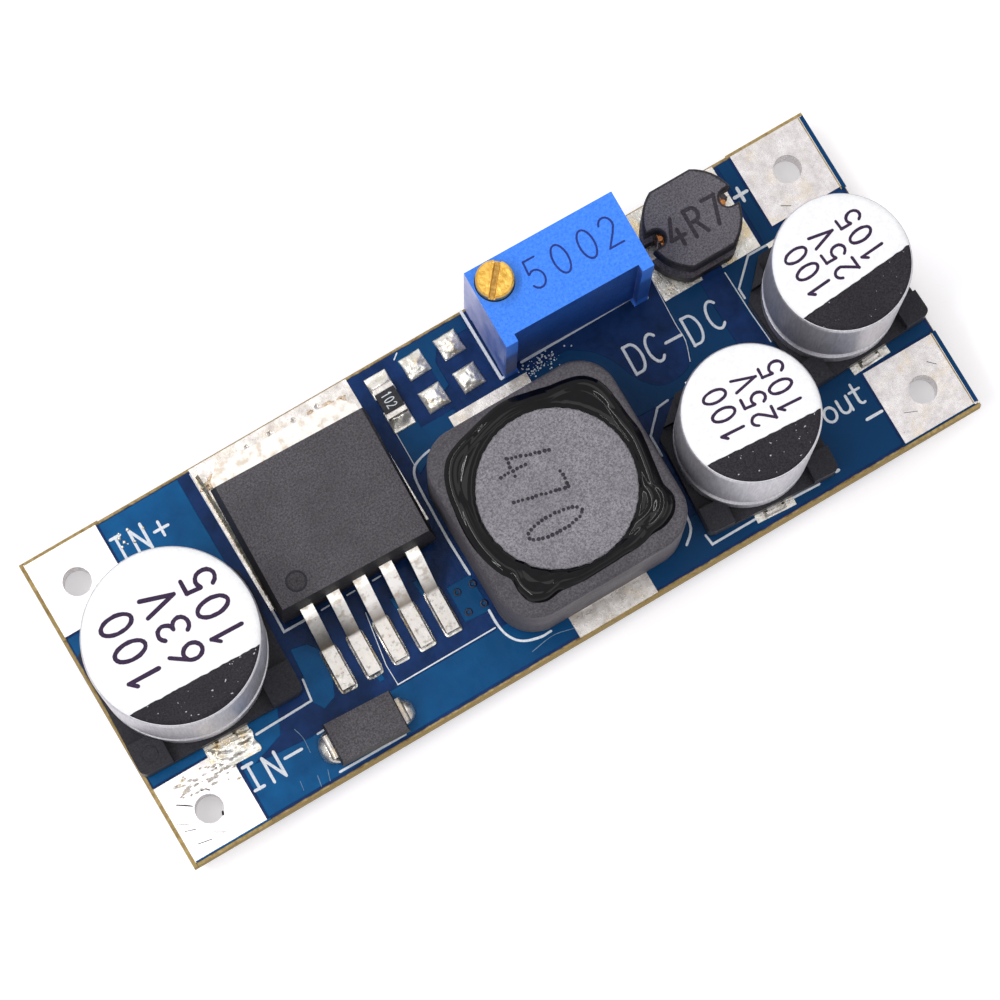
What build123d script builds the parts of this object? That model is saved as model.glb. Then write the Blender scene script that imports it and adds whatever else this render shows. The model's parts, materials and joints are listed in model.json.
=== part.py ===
from build123d import *
import os
from math import copysign, cos, radians, sin

# Step-down converter board, in millimetres. The origin is the middle of the board's
# underside and of its four corner holes. +X runs from the input end to the output end,
# +Y to the trimmer's edge and +Z up. Heights of the components are counted from the
# board's top face, and their places from the board's edges.

os.makedirs("parts", exist_ok=True)

# Board and the V-scored rim left by snapping it from its panel
board_length = 52.6
board_width = 20.2
board_thickness = 1.6
score_depth = 0.45
score_angle = 15.0
left = -board_length / 2
right = board_length / 2
near = -board_width / 2
far = board_width / 2

# Copper with its tin finish stands this high above the laminate
foil = 0.07

# Corner terminals: a square land on each face, joined by a plated barrel
land_side = 4.84
land_margin_x = 0.13
land_margin_y = 0.19
land_shift_y = 0.05
hole_inset_x = 2.45
hole_inset_y = 2.525
hole_diameter = 1.7
barrel_wall = 0.05

# Fits
running_clearance = 0.05
seat_gap = 0.03

# Solder fillets: set in from the land's edge, and how steeply they rise
solder_inset = 0.02
solder_taper = 30.0

# Regulator: moulded body, tab with the middle lead, four more leads
regulator_place = (left + 16.37, far - 10.1, -1.7)
regulator_width = 10.0
regulator_depth = 8.6
regulator_front = -0.86
regulator_height = 4.5
regulator_parting = 2.45
upper_draft = 8.0
lower_draft = 3.0
tab_thickness = 1.27
tab_width = 9.5
tab_end = 9.05
tab_corner = 0.7
lead_pitch = 1.702
lead_width = 0.8
lead_thickness = 0.45
lead_height = 2.6
lead_shoulder = 1.25
lead_knee = 3.15
lead_toe = 5.77
lead_bend = 0.5
lead_root = 1.0
lead_land_width = 1.1
lead_land_length = 2.9
lead_land_past_toe = 0.2
lead_fillet_height = 0.27
die_size = (3.2, 2.6, 0.3)
tab_land = (10.5, 9.5)
tab_land_middle = (left + 16.42, far - 4.9)
tab_via_diameter = 0.35
tab_via_count = 4
tab_via_pitch = 1.56
tab_via_shift = 0.65
tab_via_y = far - 0.7

# Electrolytic capacitors: can, moulded base, two flat leads
can_edge = 0.45
groove_radius = 0.6
groove_depth = 0.35
groove_height = 1.9
base_lift = 0.1
base_plate = 1.0
base_lug = 0.9
base_margin = 0.15
lug_share = 0.62
base_chamfer_share = 0.24
base_round_share = 0.045
cap_lead_width = 0.9
cap_lead_thickness = 0.2
cap_lead_out = 0.35
cap_post_radius = 0.3
cap_post_y = 1.9
cap_fillet_margin = 0.25
cap_fillet_length = 0.4
cap_fillet_height = 0.24
input_can = {
    "radius": 5.05,
    "height": 10.25,
    "place": (left + 5.45, near + 10.83, -1.9),
    "land_width": 2.85,
    "land_reach": (1.68, 0.4),
}
output_can_1 = {
    "radius": 4.0,
    "height": 10.5,
    "place": (right - 4.38, near + 9.94, 2.5),
    "land_width": 2.5,
    "land_reach": (0.5, 0.45),
}
output_can_2 = {
    "radius": 4.0,
    "height": 10.5,
    "place": (right - 13.17, near + 5.22, -3.8),
    "land_width": 2.5,
    "land_reach": (0.5, 0.45),
}

# Power inductor: drum core glued into a square ferrite shield
inductor_place = (left + 28.3, near + 7.48, 0.0)
shield_side = 11.95
shield_corner = 2.3
shield_height = 7.0
shield_opening = 10.1
shield_opening_corner = 3.6
clip_thickness = 0.25
clip_width = 4.6
clip_inner = 3.6
drum_radius = 4.85
drum_rim = 0.3
drum_core = 2.4
drum_flange = 1.3
coil_radius = 4.55
glue_depth = 1.25
glue_drop = 0.12
inductor_land_width = 5.2
inductor_land_end = 7.45
inductor_land_middle = (left + 28.27, near + 7.63)

# Filter inductor: open drum core with two notches for the wire
filter_place = (right - 9.4, far - 2.9, 0.0)
filter_radius = 2.9
filter_flats = 5.15
filter_height = 4.5
filter_flange = 1.25
filter_core = 1.4
filter_notch = 0.5
filter_wire = 0.3
filter_turns = 6
filter_turn_gap = 0.006
filter_coil_drop = 0.8
filter_edge = 0.22
filter_terminal = (1.45, 2.6, 0.13)
filter_land = (2.55, 5.5)
filter_land_offset = 1.95

# Multiturn trimmer: housing, potted base, ceramic element, worm screw and wheel
trimmer_place = (right - 18.17, far - 2.51, -1.0)
trimmer_length = 9.51
trimmer_width = 4.84
trimmer_height = 10.05
trimmer_foot = 0.3
trimmer_foot_side = 0.9
trimmer_wall = 0.46
trimmer_roof = 1.15
recess_length = 8.0
recess_depth = 0.45
screw_inset = 1.27
screw_radius = 1.1
screw_top = 10.9
screw_slot_width = 0.4
screw_slot_depth = 0.5
screw_slot_angle = 51.0
screw_chamfer = 0.12
worm_core = 0.45
journal_radius = 0.4
journal_depth = 0.5
seal_depth = 0.35
seal_section = 0.3
wheel_teeth = 30
wheel_tip = 2.85
wheel_root = 2.6
wheel_thickness = 1.3
wheel_height = 5.2
wheel_end_play = 0.2
axle_radius = 0.5
wiper_thickness = 0.12
wiper_track = 1.75
wiper_bore_clearance = 0.2
element_size = (7.8, 7.4, 0.6)
track_thickness = 0.03
track_width = 0.6
potting_depth = 0.75
pin_radius = 0.25
pin_spacing = 2.54
pin_top = 1.9
pin_tail = 0.9
pin_hole_radius = 0.45
joint_radius = 0.95
joint_tip_radius = 0.375
joint_height = 0.65

# Rectifier diode
diode_place = (left + 12.43, near + 1.83, -2.8)
diode_length = 4.35
diode_width = 2.65
diode_height = 2.2
diode_draft = 6.0
diode_span = 5.0
diode_lead_width = 1.45
diode_lead_thickness = 0.2
diode_lead_under = 1.2
diode_lead_bend = 0.12
diode_chip = (1.2, 1.2, 0.3)
diode_land = (1.3, 1.9)
diode_land_inset = 0.2
diode_fillet_size = (0.7, 1.8)
diode_fillet_out = 0.08
diode_fillet_taper = 14.0
diode_solder_height = 0.95

# Chip resistor and the two empty chip footprints beside it
chip_first_x = left + 23.22
chip_pitch_x = 2.33
chip_middle_y = far - 2.6
chip_land_side = 1.4
chip_land_spacing = 2.24
chip_length = 2.0
chip_width = 1.25
chip_thickness = 0.5
chip_cap = 0.38
chip_edge = 0.08
chip_cap_wrap = 0.02
chip_fillet_size = (1.3, 1.2)
chip_fillet_spread = 0.1
chip_fillet_height = 0.35
chip_fillet_taper = 35.0
dome_inset = 0.03
dome_height = 0.4
dome_taper = 50.0


# Plane on the board's top face at (x, y), turned by angle degrees about the vertical
def seat(x, y, angle):
    return Plane(
        origin=(x, y, board_thickness),
        x_dir=(cos(radians(angle)), sin(radians(angle)), 0),
        z_dir=(0, 0, 1),
    )


# Upright plane through a point of the seat: its x is the seat's x, its y is up
def upright(flat, x=0.0, y=0.0):
    return Plane(origin=flat.from_local_coords((x, y, 0)), x_dir=flat.x_dir, z_dir=-flat.y_dir)


# Upright plane across the seat: its x is the seat's y, its y is up
def crosswise(flat, x=0.0, y=0.0):
    return Plane(origin=flat.from_local_coords((x, y, 0)), x_dir=flat.y_dir, z_dir=flat.x_dir)


board_top = Plane.XY.offset(board_thickness)
board_under = Plane.XY
footprint = seat(0, 0, 0)
regulator_seat = seat(*regulator_place)
inductor_seat = seat(*inductor_place)
inductor_land_seat = seat(*inductor_land_middle, 0)
filter_seat = seat(*filter_place)
trimmer_seat = seat(*trimmer_place)
diode_seat = seat(*diode_place)

pin_y = -trimmer_width / 2 + recess_depth + trimmer_wall + element_size[2] + pin_radius
pin_row = [(i * pin_spacing, pin_y) for i in (-1, 0, 1)]
lead_rows = [i * lead_pitch for i in (-2, -1, 0, 1, 2)]
tab_via_middle = (tab_land_middle[0] + tab_via_shift, tab_via_y)
spare_middle = (chip_first_x + 1.5 * chip_pitch_x, chip_middle_y)
corners = {
    "input_positive": (left, far),
    "input_negative": (left, near),
    "output_positive": (right, far),
    "output_negative": (right, near),
}


# Middle of the land at one corner of the board
def land_place(corner):
    x, y = corners[corner]
    in_x = land_margin_x + land_side / 2
    in_y = land_margin_y + land_side / 2
    return (x - copysign(in_x, x), y - copysign(in_y, y) + land_shift_y)


# Middle of the hole at one corner of the board
def hole_place(corner):
    x, y = corners[corner]
    return (x - copysign(hole_inset_x, x), y - copysign(hole_inset_y, y))


# The row of small vias past the regulator's tab
def tab_via_circles(mode):
    with Locations(tab_via_middle):
        with GridLocations(tab_via_pitch, 0, tab_via_count, 1):
            Circle(tab_via_diameter / 2, mode=mode)


# Laminate with its scored rim, the four terminal holes and the trimmer's pin holes
with BuildPart() as circuit_board:
    with BuildSketch(Plane.XY.offset(score_depth)):
        Rectangle(board_length, board_width)
    extrude(amount=board_thickness - 2 * score_depth)
    extrude(circuit_board.faces().sort_by(Axis.Z)[-1], amount=score_depth, taper=score_angle)
    extrude(circuit_board.faces().sort_by(Axis.Z)[0], amount=score_depth, taper=score_angle)
    with BuildSketch(board_under):
        with Locations(*[hole_place(corner) for corner in corners]):
            Circle(hole_diameter / 2 + barrel_wall)
        tab_via_circles(Mode.ADD)
    extrude(amount=board_thickness, mode=Mode.SUBTRACT)
    with BuildSketch(trimmer_seat):
        with Locations(*pin_row):
            Circle(pin_hole_radius)
    extrude(amount=-board_thickness, mode=Mode.SUBTRACT)
circuit_board.part.label = "circuit_board"
export_step(circuit_board.part, "parts/circuit_board.step")

# Corner terminals, one solid each: upper land, plated barrel, lower land
terminals = {}
for corner in corners:
    with BuildPart() as terminal:
        with BuildSketch(board_top):
            with Locations(land_place(corner)):
                Rectangle(land_side, land_side)
        extrude(amount=foil)
        with BuildSketch(board_under):
            with Locations(land_place(corner)):
                Rectangle(land_side, land_side)
        extrude(amount=-foil)
        with BuildSketch(board_under):
            with Locations(hole_place(corner)):
                Circle(hole_diameter / 2 + barrel_wall)
        extrude(amount=board_thickness)
        with BuildSketch(board_under.offset(-foil)):
            with Locations(hole_place(corner)):
                Circle(hole_diameter / 2)
        extrude(amount=board_thickness + 2 * foil, mode=Mode.SUBTRACT)
    terminal.part.label = f"{corner}_terminal"
    export_step(terminal.part, f"parts/{corner}_terminal.step")
    terminals[corner] = terminal.part

# Regulator tab land on the board, with its row of small vias
with BuildPart() as tab_pad:
    with BuildSketch(board_top):
        with Locations(tab_land_middle):
            Rectangle(*tab_land)
        tab_via_circles(Mode.SUBTRACT)
    extrude(amount=foil)
tab_pad.part.label = "regulator_tab_pad"
export_step(tab_pad.part, "parts/regulator_tab_pad.step")


# One gull-wing lead: level shoulder, slope and foot, from inside the body to its toe
def bend_lead(x, inner):
    foot = foil + lead_thickness / 2
    route_plane = crosswise(regulator_seat, x)
    start = regulator_seat.from_local_coords((x, inner, lead_height))
    with BuildPart() as lead:
        with BuildLine(route_plane):
            FilletPolyline(
                (inner, lead_height),
                (-lead_shoulder, lead_height),
                (-lead_knee, foot),
                (-lead_toe, foot),
                radius=lead_bend,
            )
        with BuildSketch(
            Plane(origin=start, x_dir=regulator_seat.x_dir, z_dir=-regulator_seat.y_dir)
        ):
            Rectangle(lead_width, lead_thickness)
        sweep()
    return lead.part


# Tab and middle lead, stamped from one strip
with BuildPart() as tab:
    with BuildSketch(regulator_seat.offset(foil)) as tab_outline:
        with Locations((0, (tab_end + lead_root) / 2)):
            Rectangle(tab_width, tab_end - lead_root)
        chamfer(tab_outline.vertices().group_by(Axis.Y)[-1], tab_corner)
    extrude(amount=tab_thickness)
    with BuildSketch(regulator_seat.offset(foil)):
        with Locations((0, lead_root + lead_thickness / 2)):
            Rectangle(lead_width, lead_thickness)
    extrude(amount=lead_height + lead_thickness / 2 - foil)
    add(bend_lead(0, lead_root + lead_thickness))
tab.part.label = "regulator_tab"
export_step(tab.part, "parts/regulator_tab.step")

outer_leads = []
for number, lead_x in ((1, lead_rows[0]), (2, lead_rows[1]), (4, lead_rows[3]), (5, lead_rows[4])):
    outer_lead = bend_lead(lead_x, lead_root)
    outer_lead.label = f"regulator_lead_{number}"
    export_step(outer_lead, f"parts/regulator_lead_{number}.step")
    outer_leads.append(outer_lead)

# Silicon die, soldered on the tab inside the moulding
with BuildPart() as die:
    with BuildSketch(regulator_seat.offset(foil + tab_thickness)):
        with Locations((0, regulator_depth / 2 + lead_root)):
            Rectangle(die_size[0], die_size[1])
    extrude(amount=die_size[2])
die.part.label = "regulator_die"
export_step(die.part, "parts/regulator_die.step")

# Moulded body, drafted both ways from its parting line, cast round the metal
with BuildPart() as regulator_body:
    with BuildSketch(regulator_seat.offset(regulator_parting)) as body_outline:
        with Locations((0, regulator_front + regulator_depth / 2)):
            Rectangle(regulator_width, regulator_depth)
    extrude(amount=regulator_height - regulator_parting, taper=upper_draft)
    extrude(body_outline.sketch, amount=-(regulator_parting - foil), taper=lower_draft)
    add(tab.part, mode=Mode.SUBTRACT)
    add(outer_leads, mode=Mode.SUBTRACT)
    add(die.part, mode=Mode.SUBTRACT)
regulator_body.part.label = "regulator_body"
export_step(regulator_body.part, "parts/regulator_body.step")

# Solder under and round the five feet, on the lead lands
with BuildPart() as lead_solder:
    land_middle = -lead_toe - lead_land_past_toe + lead_land_length / 2
    with BuildSketch(regulator_seat):
        with Locations(*[(x, land_middle) for x in lead_rows]):
            Rectangle(lead_land_width, lead_land_length)
    extrude(amount=foil)
    with BuildSketch(regulator_seat.offset(foil)):
        with Locations(*[(x, land_middle) for x in lead_rows]):
            Rectangle(lead_land_width - 2 * solder_inset, lead_land_length - 2 * solder_inset)
    extrude(amount=lead_fillet_height, taper=solder_taper)
    add(outer_leads, mode=Mode.SUBTRACT)
    add(tab.part, mode=Mode.SUBTRACT)
lead_solder.part.label = "regulator_lead_solder"
export_step(lead_solder.part, "parts/regulator_lead_solder.step")


# Electrolytic capacitor: leads, base, can and solder of one place on the board
def capacitor(name, can, neighbours):
    flat = seat(*can["place"])
    radius = can["radius"]
    side = 2 * (radius + base_margin)
    plate_top = base_lift + base_plate
    lead_start = cap_post_y - cap_lead_width / 2
    lead_end = side / 2 + cap_lead_out

    with BuildPart() as leads:
        with BuildSketch(flat.offset(foil)):
            with Locations(*[(0, s * (lead_end + lead_start) / 2) for s in (-1, 1)]):
                Rectangle(cap_lead_width, lead_end - lead_start)
        extrude(amount=cap_lead_thickness)
        with BuildSketch(flat.offset(foil + cap_lead_thickness)):
            with Locations((0, cap_post_y), (0, -cap_post_y)):
                Circle(cap_post_radius)
        extrude(amount=plate_top - foil - cap_lead_thickness)
    leads.part.label = f"{name}_leads"
    export_step(leads.part, f"parts/{name}_leads.step")

    with BuildPart() as base:
        with BuildSketch(flat.offset(base_lift)) as base_outline:
            Rectangle(side, side)
            chamfer(base_outline.vertices().group_by(Axis.Y)[-1], side * base_chamfer_share)
            fillet(base_outline.vertices().group_by(Axis.Y)[0], side * base_round_share)
        extrude(amount=base_plate + base_lug)
        with BuildSketch(flat.offset(plate_top)):
            Rectangle(2 * side, side * lug_share)
            Rectangle(side * lug_share, 2 * side)
            Circle(radius + seat_gap)
        extrude(amount=base_lug, mode=Mode.SUBTRACT)
        add(leads.part, mode=Mode.SUBTRACT)
    base.part.label = f"{name}_base"
    export_step(base.part, f"parts/{name}_base.step")

    with BuildPart() as body:
        with BuildSketch(flat.offset(plate_top)):
            Circle(radius)
        extrude(amount=can["height"] - plate_top)
        rims = body.edges().filter_by(GeomType.CIRCLE).sort_by(Axis.Z)
        fillet(rims[-1], can_edge)
        fillet(rims[0], can_edge / 2)
        with BuildSketch(upright(flat)):
            with Locations((radius + groove_radius - groove_depth, plate_top + groove_height)):
                Circle(groove_radius)
        revolve(axis=Axis(flat.origin, flat.z_dir), mode=Mode.SUBTRACT)
    body.part.label = f"{name}_can"
    export_step(body.part, f"parts/{name}_can.step")

    with BuildPart() as solder:
        for sign, past_base in zip((-1, 1), can["land_reach"]):
            reach = side / 2 + past_base
            with BuildSketch(flat):
                with Locations((0, sign * (reach + cap_post_y) / 2)):
                    Rectangle(can["land_width"], reach - cap_post_y)
            extrude(amount=foil)
        fillet_y = side / 2 + solder_inset + cap_fillet_length / 2
        with BuildSketch(flat.offset(foil)):
            with Locations((0, fillet_y), (0, -fillet_y)):
                Rectangle(cap_lead_width + 2 * cap_fillet_margin, cap_fillet_length)
        extrude(amount=cap_fillet_height, taper=solder_taper)
        add(leads.part, mode=Mode.SUBTRACT)
        add(base.part, mode=Mode.SUBTRACT)
        if neighbours:
            add(neighbours, mode=Mode.SUBTRACT)
    solder.part.label = f"{name}_solder"
    export_step(solder.part, f"parts/{name}_solder.step")


capacitor("input_capacitor", input_can, [terminals["input_negative"], terminals["input_positive"]])
capacitor("output_capacitor_1", output_can_1, [terminals["output_negative"]])
capacitor("output_capacitor_2", output_can_2, [])

# Power inductor: drum core with a coil between its flanges
clip_top = foil + clip_thickness
drum_top = shield_height
flange_under = drum_top - drum_flange
flange_over = clip_top + drum_flange
with BuildPart() as inductor_drum:
    with BuildSketch(upright(inductor_seat)):
        with BuildLine():
            Polyline(
                (0, clip_top),
                (drum_radius, clip_top),
                (drum_radius, flange_over),
                (drum_core, flange_over),
                (drum_core, flange_under),
                (drum_radius, flange_under),
                (drum_radius, drum_top - drum_rim),
                (drum_radius - drum_rim, drum_top),
                (0, drum_top),
                close=True,
            )
        make_face()
    revolve(axis=Axis(inductor_seat.origin, inductor_seat.z_dir))
inductor_drum.part.label = "power_inductor_drum"
export_step(inductor_drum.part, "parts/power_inductor_drum.step")

with BuildPart() as inductor_coil:
    with BuildSketch(inductor_seat.offset(flange_over)):
        Circle(coil_radius)
        Circle(drum_core, mode=Mode.SUBTRACT)
    extrude(amount=flange_under - flange_over)
inductor_coil.part.label = "power_inductor_winding"
export_step(inductor_coil.part, "parts/power_inductor_winding.step")

with BuildPart() as shield:
    with BuildSketch(inductor_seat.offset(clip_top)):
        RectangleRounded(shield_side, shield_side, shield_corner)
        RectangleRounded(shield_opening, shield_opening, shield_opening_corner, mode=Mode.SUBTRACT)
    extrude(amount=shield_height - clip_top)
    outer_rims = shield.faces().sort_by(Axis.Z)[-1].outer_wire().edges()
    fillet(outer_rims, drum_rim)
shield.part.label = "power_inductor_shield"
export_step(shield.part, "parts/power_inductor_shield.step")

with BuildPart() as glue:
    with BuildSketch(inductor_seat.offset(shield_height - glue_depth)):
        RectangleRounded(shield_opening, shield_opening, shield_opening_corner)
        Circle(drum_radius, mode=Mode.SUBTRACT)
    extrude(amount=glue_depth - glue_drop)
    add(inductor_drum.part, mode=Mode.SUBTRACT)
glue.part.label = "power_inductor_glue"
export_step(glue.part, "parts/power_inductor_glue.step")

with BuildPart() as clips:
    with BuildSketch(inductor_seat.offset(foil)):
        with Locations(*[(0, s * (shield_side / 2 + clip_inner) / 2) for s in (-1, 1)]):
            Rectangle(clip_width, shield_side / 2 - clip_inner)
    extrude(amount=clip_thickness)
clips.part.label = "power_inductor_clips"
export_step(clips.part, "parts/power_inductor_clips.step")

with BuildPart() as inductor_solder:
    with BuildSketch(inductor_land_seat):
        with Locations(*[(0, s * (inductor_land_end + clip_inner) / 2) for s in (-1, 1)]):
            Rectangle(inductor_land_width, inductor_land_end - clip_inner)
    extrude(amount=foil)
inductor_solder.part.label = "power_inductor_solder"
export_step(inductor_solder.part, "parts/power_inductor_solder.step")


# Outline of the filter inductor's flanges: a disc with two flats and two notches
def filter_outline():
    Circle(filter_radius)
    Rectangle(2 * filter_radius, filter_flats, mode=Mode.INTERSECT)
    with Locations((filter_radius, 0), (-filter_radius, 0)):
        SlotOverall(4 * filter_notch, 2 * filter_notch, mode=Mode.SUBTRACT)


filter_bottom = foil + filter_terminal[2]
with BuildPart() as filter_drum:
    with BuildSketch(filter_seat.offset(filter_bottom)):
        filter_outline()
    extrude(amount=filter_flange)
    with BuildSketch(filter_seat.offset(filter_bottom)):
        Circle(filter_core)
    extrude(amount=filter_height - filter_bottom)
    with BuildSketch(filter_seat.offset(filter_height - filter_flange)):
        filter_outline()
    extrude(amount=filter_flange)
    fillet(filter_drum.faces().sort_by(Axis.Z)[-1].outer_wire().edges(), filter_edge)
filter_drum.part.label = "filter_inductor_drum"
export_step(filter_drum.part, "parts/filter_inductor_drum.step")

# Coil of the filter inductor, its two ends led down through the notches
coil_low = filter_bottom + filter_flange
coil_high = filter_height - filter_flange
turn_pitch = (coil_high - coil_low) / filter_turns
coil_outer = filter_radius - filter_coil_drop
with BuildPart() as filter_coil:
    with BuildSketch(upright(filter_seat)):
        with Locations(((filter_core + coil_outer) / 2, (coil_low + coil_high) / 2)):
            Rectangle(coil_outer - filter_core, coil_high - coil_low)
        for turn in range(filter_turns):
            with Locations((coil_outer, coil_low + (turn + 0.5) * turn_pitch)):
                Circle(turn_pitch / 2 - filter_turn_gap)
    revolve(axis=Axis(filter_seat.origin, filter_seat.z_dir))
    with BuildSketch(filter_seat.offset(filter_bottom)):
        with Locations((coil_outer, 0), (-coil_outer, 0)):
            Circle(filter_wire / 2)
    extrude(amount=filter_height - filter_bottom - filter_flange / 2)
    add(filter_drum.part, mode=Mode.SUBTRACT)
filter_coil.part.label = "filter_inductor_winding"
export_step(filter_coil.part, "parts/filter_inductor_winding.step")

with BuildPart() as filter_terminals:
    with BuildSketch(filter_seat.offset(foil)):
        with Locations(*[(s * filter_land_offset, 0) for s in (-1, 1)]):
            Rectangle(filter_terminal[0], filter_terminal[1])
    extrude(amount=filter_terminal[2])
filter_terminals.part.label = "filter_inductor_terminals"
export_step(filter_terminals.part, "parts/filter_inductor_terminals.step")

with BuildPart() as filter_solder:
    with BuildSketch(filter_seat):
        with Locations(*[(s * filter_land_offset, 0) for s in (-1, 1)]):
            Rectangle(*filter_land)
    extrude(amount=foil)
filter_solder.part.label = "filter_inductor_solder"
export_step(filter_solder.part, "parts/filter_inductor_solder.step")

# Trimmer places shared by its pieces
front = -trimmer_width / 2
cavity_front = front + recess_depth + trimmer_wall
cavity_back = trimmer_width / 2 - trimmer_wall
cavity_length = trimmer_length - 2 * trimmer_wall
cavity_roof = trimmer_height - trimmer_roof
screw_x = -trimmer_length / 2 + screw_inset
screw_y = trimmer_width / 2 - screw_inset
wheel_x = screw_x + worm_core + running_clearance + wheel_tip
wheel_back = cavity_back - wheel_end_play
wheel_front = wheel_back - wheel_thickness
element_back = cavity_front + element_size[2]
potting_top = trimmer_foot + potting_depth
journal_low = potting_top - journal_depth
seal_low = cavity_roof + seal_depth
seal_inner = screw_radius - seal_section

# Blue housing: shell open below, recessed front, four feet, hole for the screw, wheel axle
with BuildPart() as housing:
    with BuildSketch(trimmer_seat.offset(trimmer_foot)):
        Rectangle(trimmer_length, trimmer_width)
        with Locations((0, front + recess_depth / 2)):
            Rectangle(recess_length, recess_depth, mode=Mode.SUBTRACT)
    extrude(amount=trimmer_height - trimmer_foot)
    foot_row = trimmer_length - trimmer_foot_side
    foot_column = trimmer_width - trimmer_foot_side
    with BuildSketch(trimmer_seat):
        with GridLocations(foot_row, foot_column, 2, 2):
            Rectangle(trimmer_foot_side, trimmer_foot_side)
    extrude(amount=trimmer_foot)
    with BuildSketch(trimmer_seat):
        with Locations((0, (cavity_front + cavity_back) / 2)):
            Rectangle(cavity_length, cavity_back - cavity_front)
    extrude(amount=cavity_roof, mode=Mode.SUBTRACT)
    with BuildSketch(trimmer_seat.offset(cavity_roof)):
        with Locations((screw_x, screw_y)):
            Circle(screw_radius + running_clearance)
    extrude(amount=trimmer_roof, mode=Mode.SUBTRACT)
    with BuildSketch(upright(trimmer_seat, 0, cavity_back)):
        with Locations((wheel_x, wheel_height)):
            Circle(axle_radius)
    extrude(amount=cavity_back - wheel_front)
housing.part.label = "trimmer_housing"
export_step(housing.part, "parts/trimmer_housing.step")

# Brass adjusting screw; the fine worm thread on its stem is left off
with BuildPart() as screw:
    with BuildSketch(upright(trimmer_seat, 0, screw_y)):
        with BuildLine():
            Polyline(
                (screw_x, journal_low),
                (screw_x + journal_radius, journal_low),
                (screw_x + journal_radius, potting_top + running_clearance),
                (screw_x + worm_core, potting_top + running_clearance),
                (screw_x + worm_core, cavity_roof + running_clearance),
                (screw_x + screw_radius, cavity_roof + running_clearance),
                (screw_x + screw_radius, seal_low),
                (screw_x + seal_inner, seal_low),
                (screw_x + seal_inner, seal_low + seal_section),
                (screw_x + screw_radius, seal_low + seal_section),
                (screw_x + screw_radius, screw_top - screw_chamfer),
                (screw_x + screw_radius - screw_chamfer, screw_top),
                (screw_x, screw_top),
                close=True,
            )
        make_face()
    revolve(axis=Axis(trimmer_seat.from_local_coords((screw_x, screw_y, 0)), trimmer_seat.z_dir))
    with BuildSketch(trimmer_seat.offset(screw_top)):
        with Locations((screw_x, screw_y)):
            Rectangle(3 * screw_radius, screw_slot_width, rotation=screw_slot_angle)
    extrude(amount=-screw_slot_depth, mode=Mode.SUBTRACT)
screw.part.label = "trimmer_screw"
export_step(screw.part, "parts/trimmer_screw.step")

# Rubber ring in the screw's groove
with BuildPart() as seal:
    with BuildSketch(trimmer_seat.offset(seal_low)):
        with Locations((screw_x, screw_y)):
            Circle(screw_radius + running_clearance / 2)
            Circle(seal_inner, mode=Mode.SUBTRACT)
    extrude(amount=seal_section)
seal.part.label = "trimmer_seal"
export_step(seal.part, "parts/trimmer_seal.step")

# Worm wheel on the housing's axle
with BuildPart() as wheel:
    with BuildSketch(upright(trimmer_seat, 0, wheel_back)):
        with Locations((wheel_x, wheel_height)):
            Circle(wheel_root)
            with PolarLocations(wheel_root, wheel_teeth):
                Rectangle(2 * (wheel_tip - wheel_root), wheel_tip * radians(180 / wheel_teeth))
            Circle(axle_radius + running_clearance, mode=Mode.SUBTRACT)
    extrude(amount=wheel_thickness)
wheel.part.label = "trimmer_wheel"
export_step(wheel.part, "parts/trimmer_wheel.step")

# Wiper spring: a washer on the wheel and a finger that reaches to the resistive track
with BuildPart() as wiper:
    with BuildSketch(upright(trimmer_seat, 0, wheel_front)):
        with Locations((wheel_x, wheel_height)):
            Circle(wiper_track + track_width / 2)
            Circle(axle_radius + wiper_bore_clearance, mode=Mode.SUBTRACT)
    extrude(amount=wiper_thickness)
    finger_back = wheel_front - wiper_thickness
    with BuildSketch(upright(trimmer_seat, 0, finger_back)):
        with Locations((wheel_x, wheel_height + wiper_track)):
            Rectangle(track_width, track_width / 2)
    extrude(amount=finger_back - element_back - track_thickness - running_clearance)
wiper.part.label = "trimmer_wiper"
export_step(wiper.part, "parts/trimmer_wiper.step")

# Ceramic element with its printed track standing proud
with BuildPart() as element:
    with BuildSketch(trimmer_seat.offset(potting_top)):
        with Locations((0, cavity_front + element_size[2] / 2)):
            Rectangle(element_size[0], element_size[2])
    extrude(amount=element_size[1])
    with BuildSketch(upright(trimmer_seat, 0, element_back + track_thickness)):
        with Locations((wheel_x, wheel_height)):
            Circle(wiper_track + track_width / 2)
            Circle(wiper_track - track_width / 2, mode=Mode.SUBTRACT)
            with Locations((0, -wiper_track)):
                Rectangle(wiper_track, 2 * track_width, mode=Mode.SUBTRACT)
    extrude(amount=track_thickness)
element.part.label = "trimmer_element"
export_step(element.part, "parts/trimmer_element.step")

# Three straight pins against the element, through the potting and the board
pins = []
for number, pin_place in enumerate(pin_row, start=1):
    with BuildPart() as pin:
        with BuildSketch(trimmer_seat.offset(-board_thickness - pin_tail)):
            with Locations(pin_place):
                Circle(pin_radius)
        extrude(amount=board_thickness + pin_tail + pin_top)
        chamfer(pin.faces().sort_by(Axis.Z)[0].edges(), pin_radius / 3)
    pin.part.label = f"trimmer_pin_{number}"
    export_step(pin.part, f"parts/trimmer_pin_{number}.step")
    pins.append(pin.part)

# Potting that closes the housing and steadies the screw's lower end
with BuildPart() as potting:
    with BuildSketch(trimmer_seat.offset(trimmer_foot)):
        with Locations((0, (cavity_front + cavity_back) / 2)):
            Rectangle(cavity_length, cavity_back - cavity_front)
    extrude(amount=potting_depth)
    with BuildSketch(trimmer_seat.offset(journal_low - running_clearance)):
        with Locations((screw_x, screw_y)):
            Circle(journal_radius + running_clearance)
    extrude(amount=potting_top - journal_low + running_clearance, mode=Mode.SUBTRACT)
    add(pins, mode=Mode.SUBTRACT)
potting.part.label = "trimmer_potting"
export_step(potting.part, "parts/trimmer_potting.step")

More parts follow.
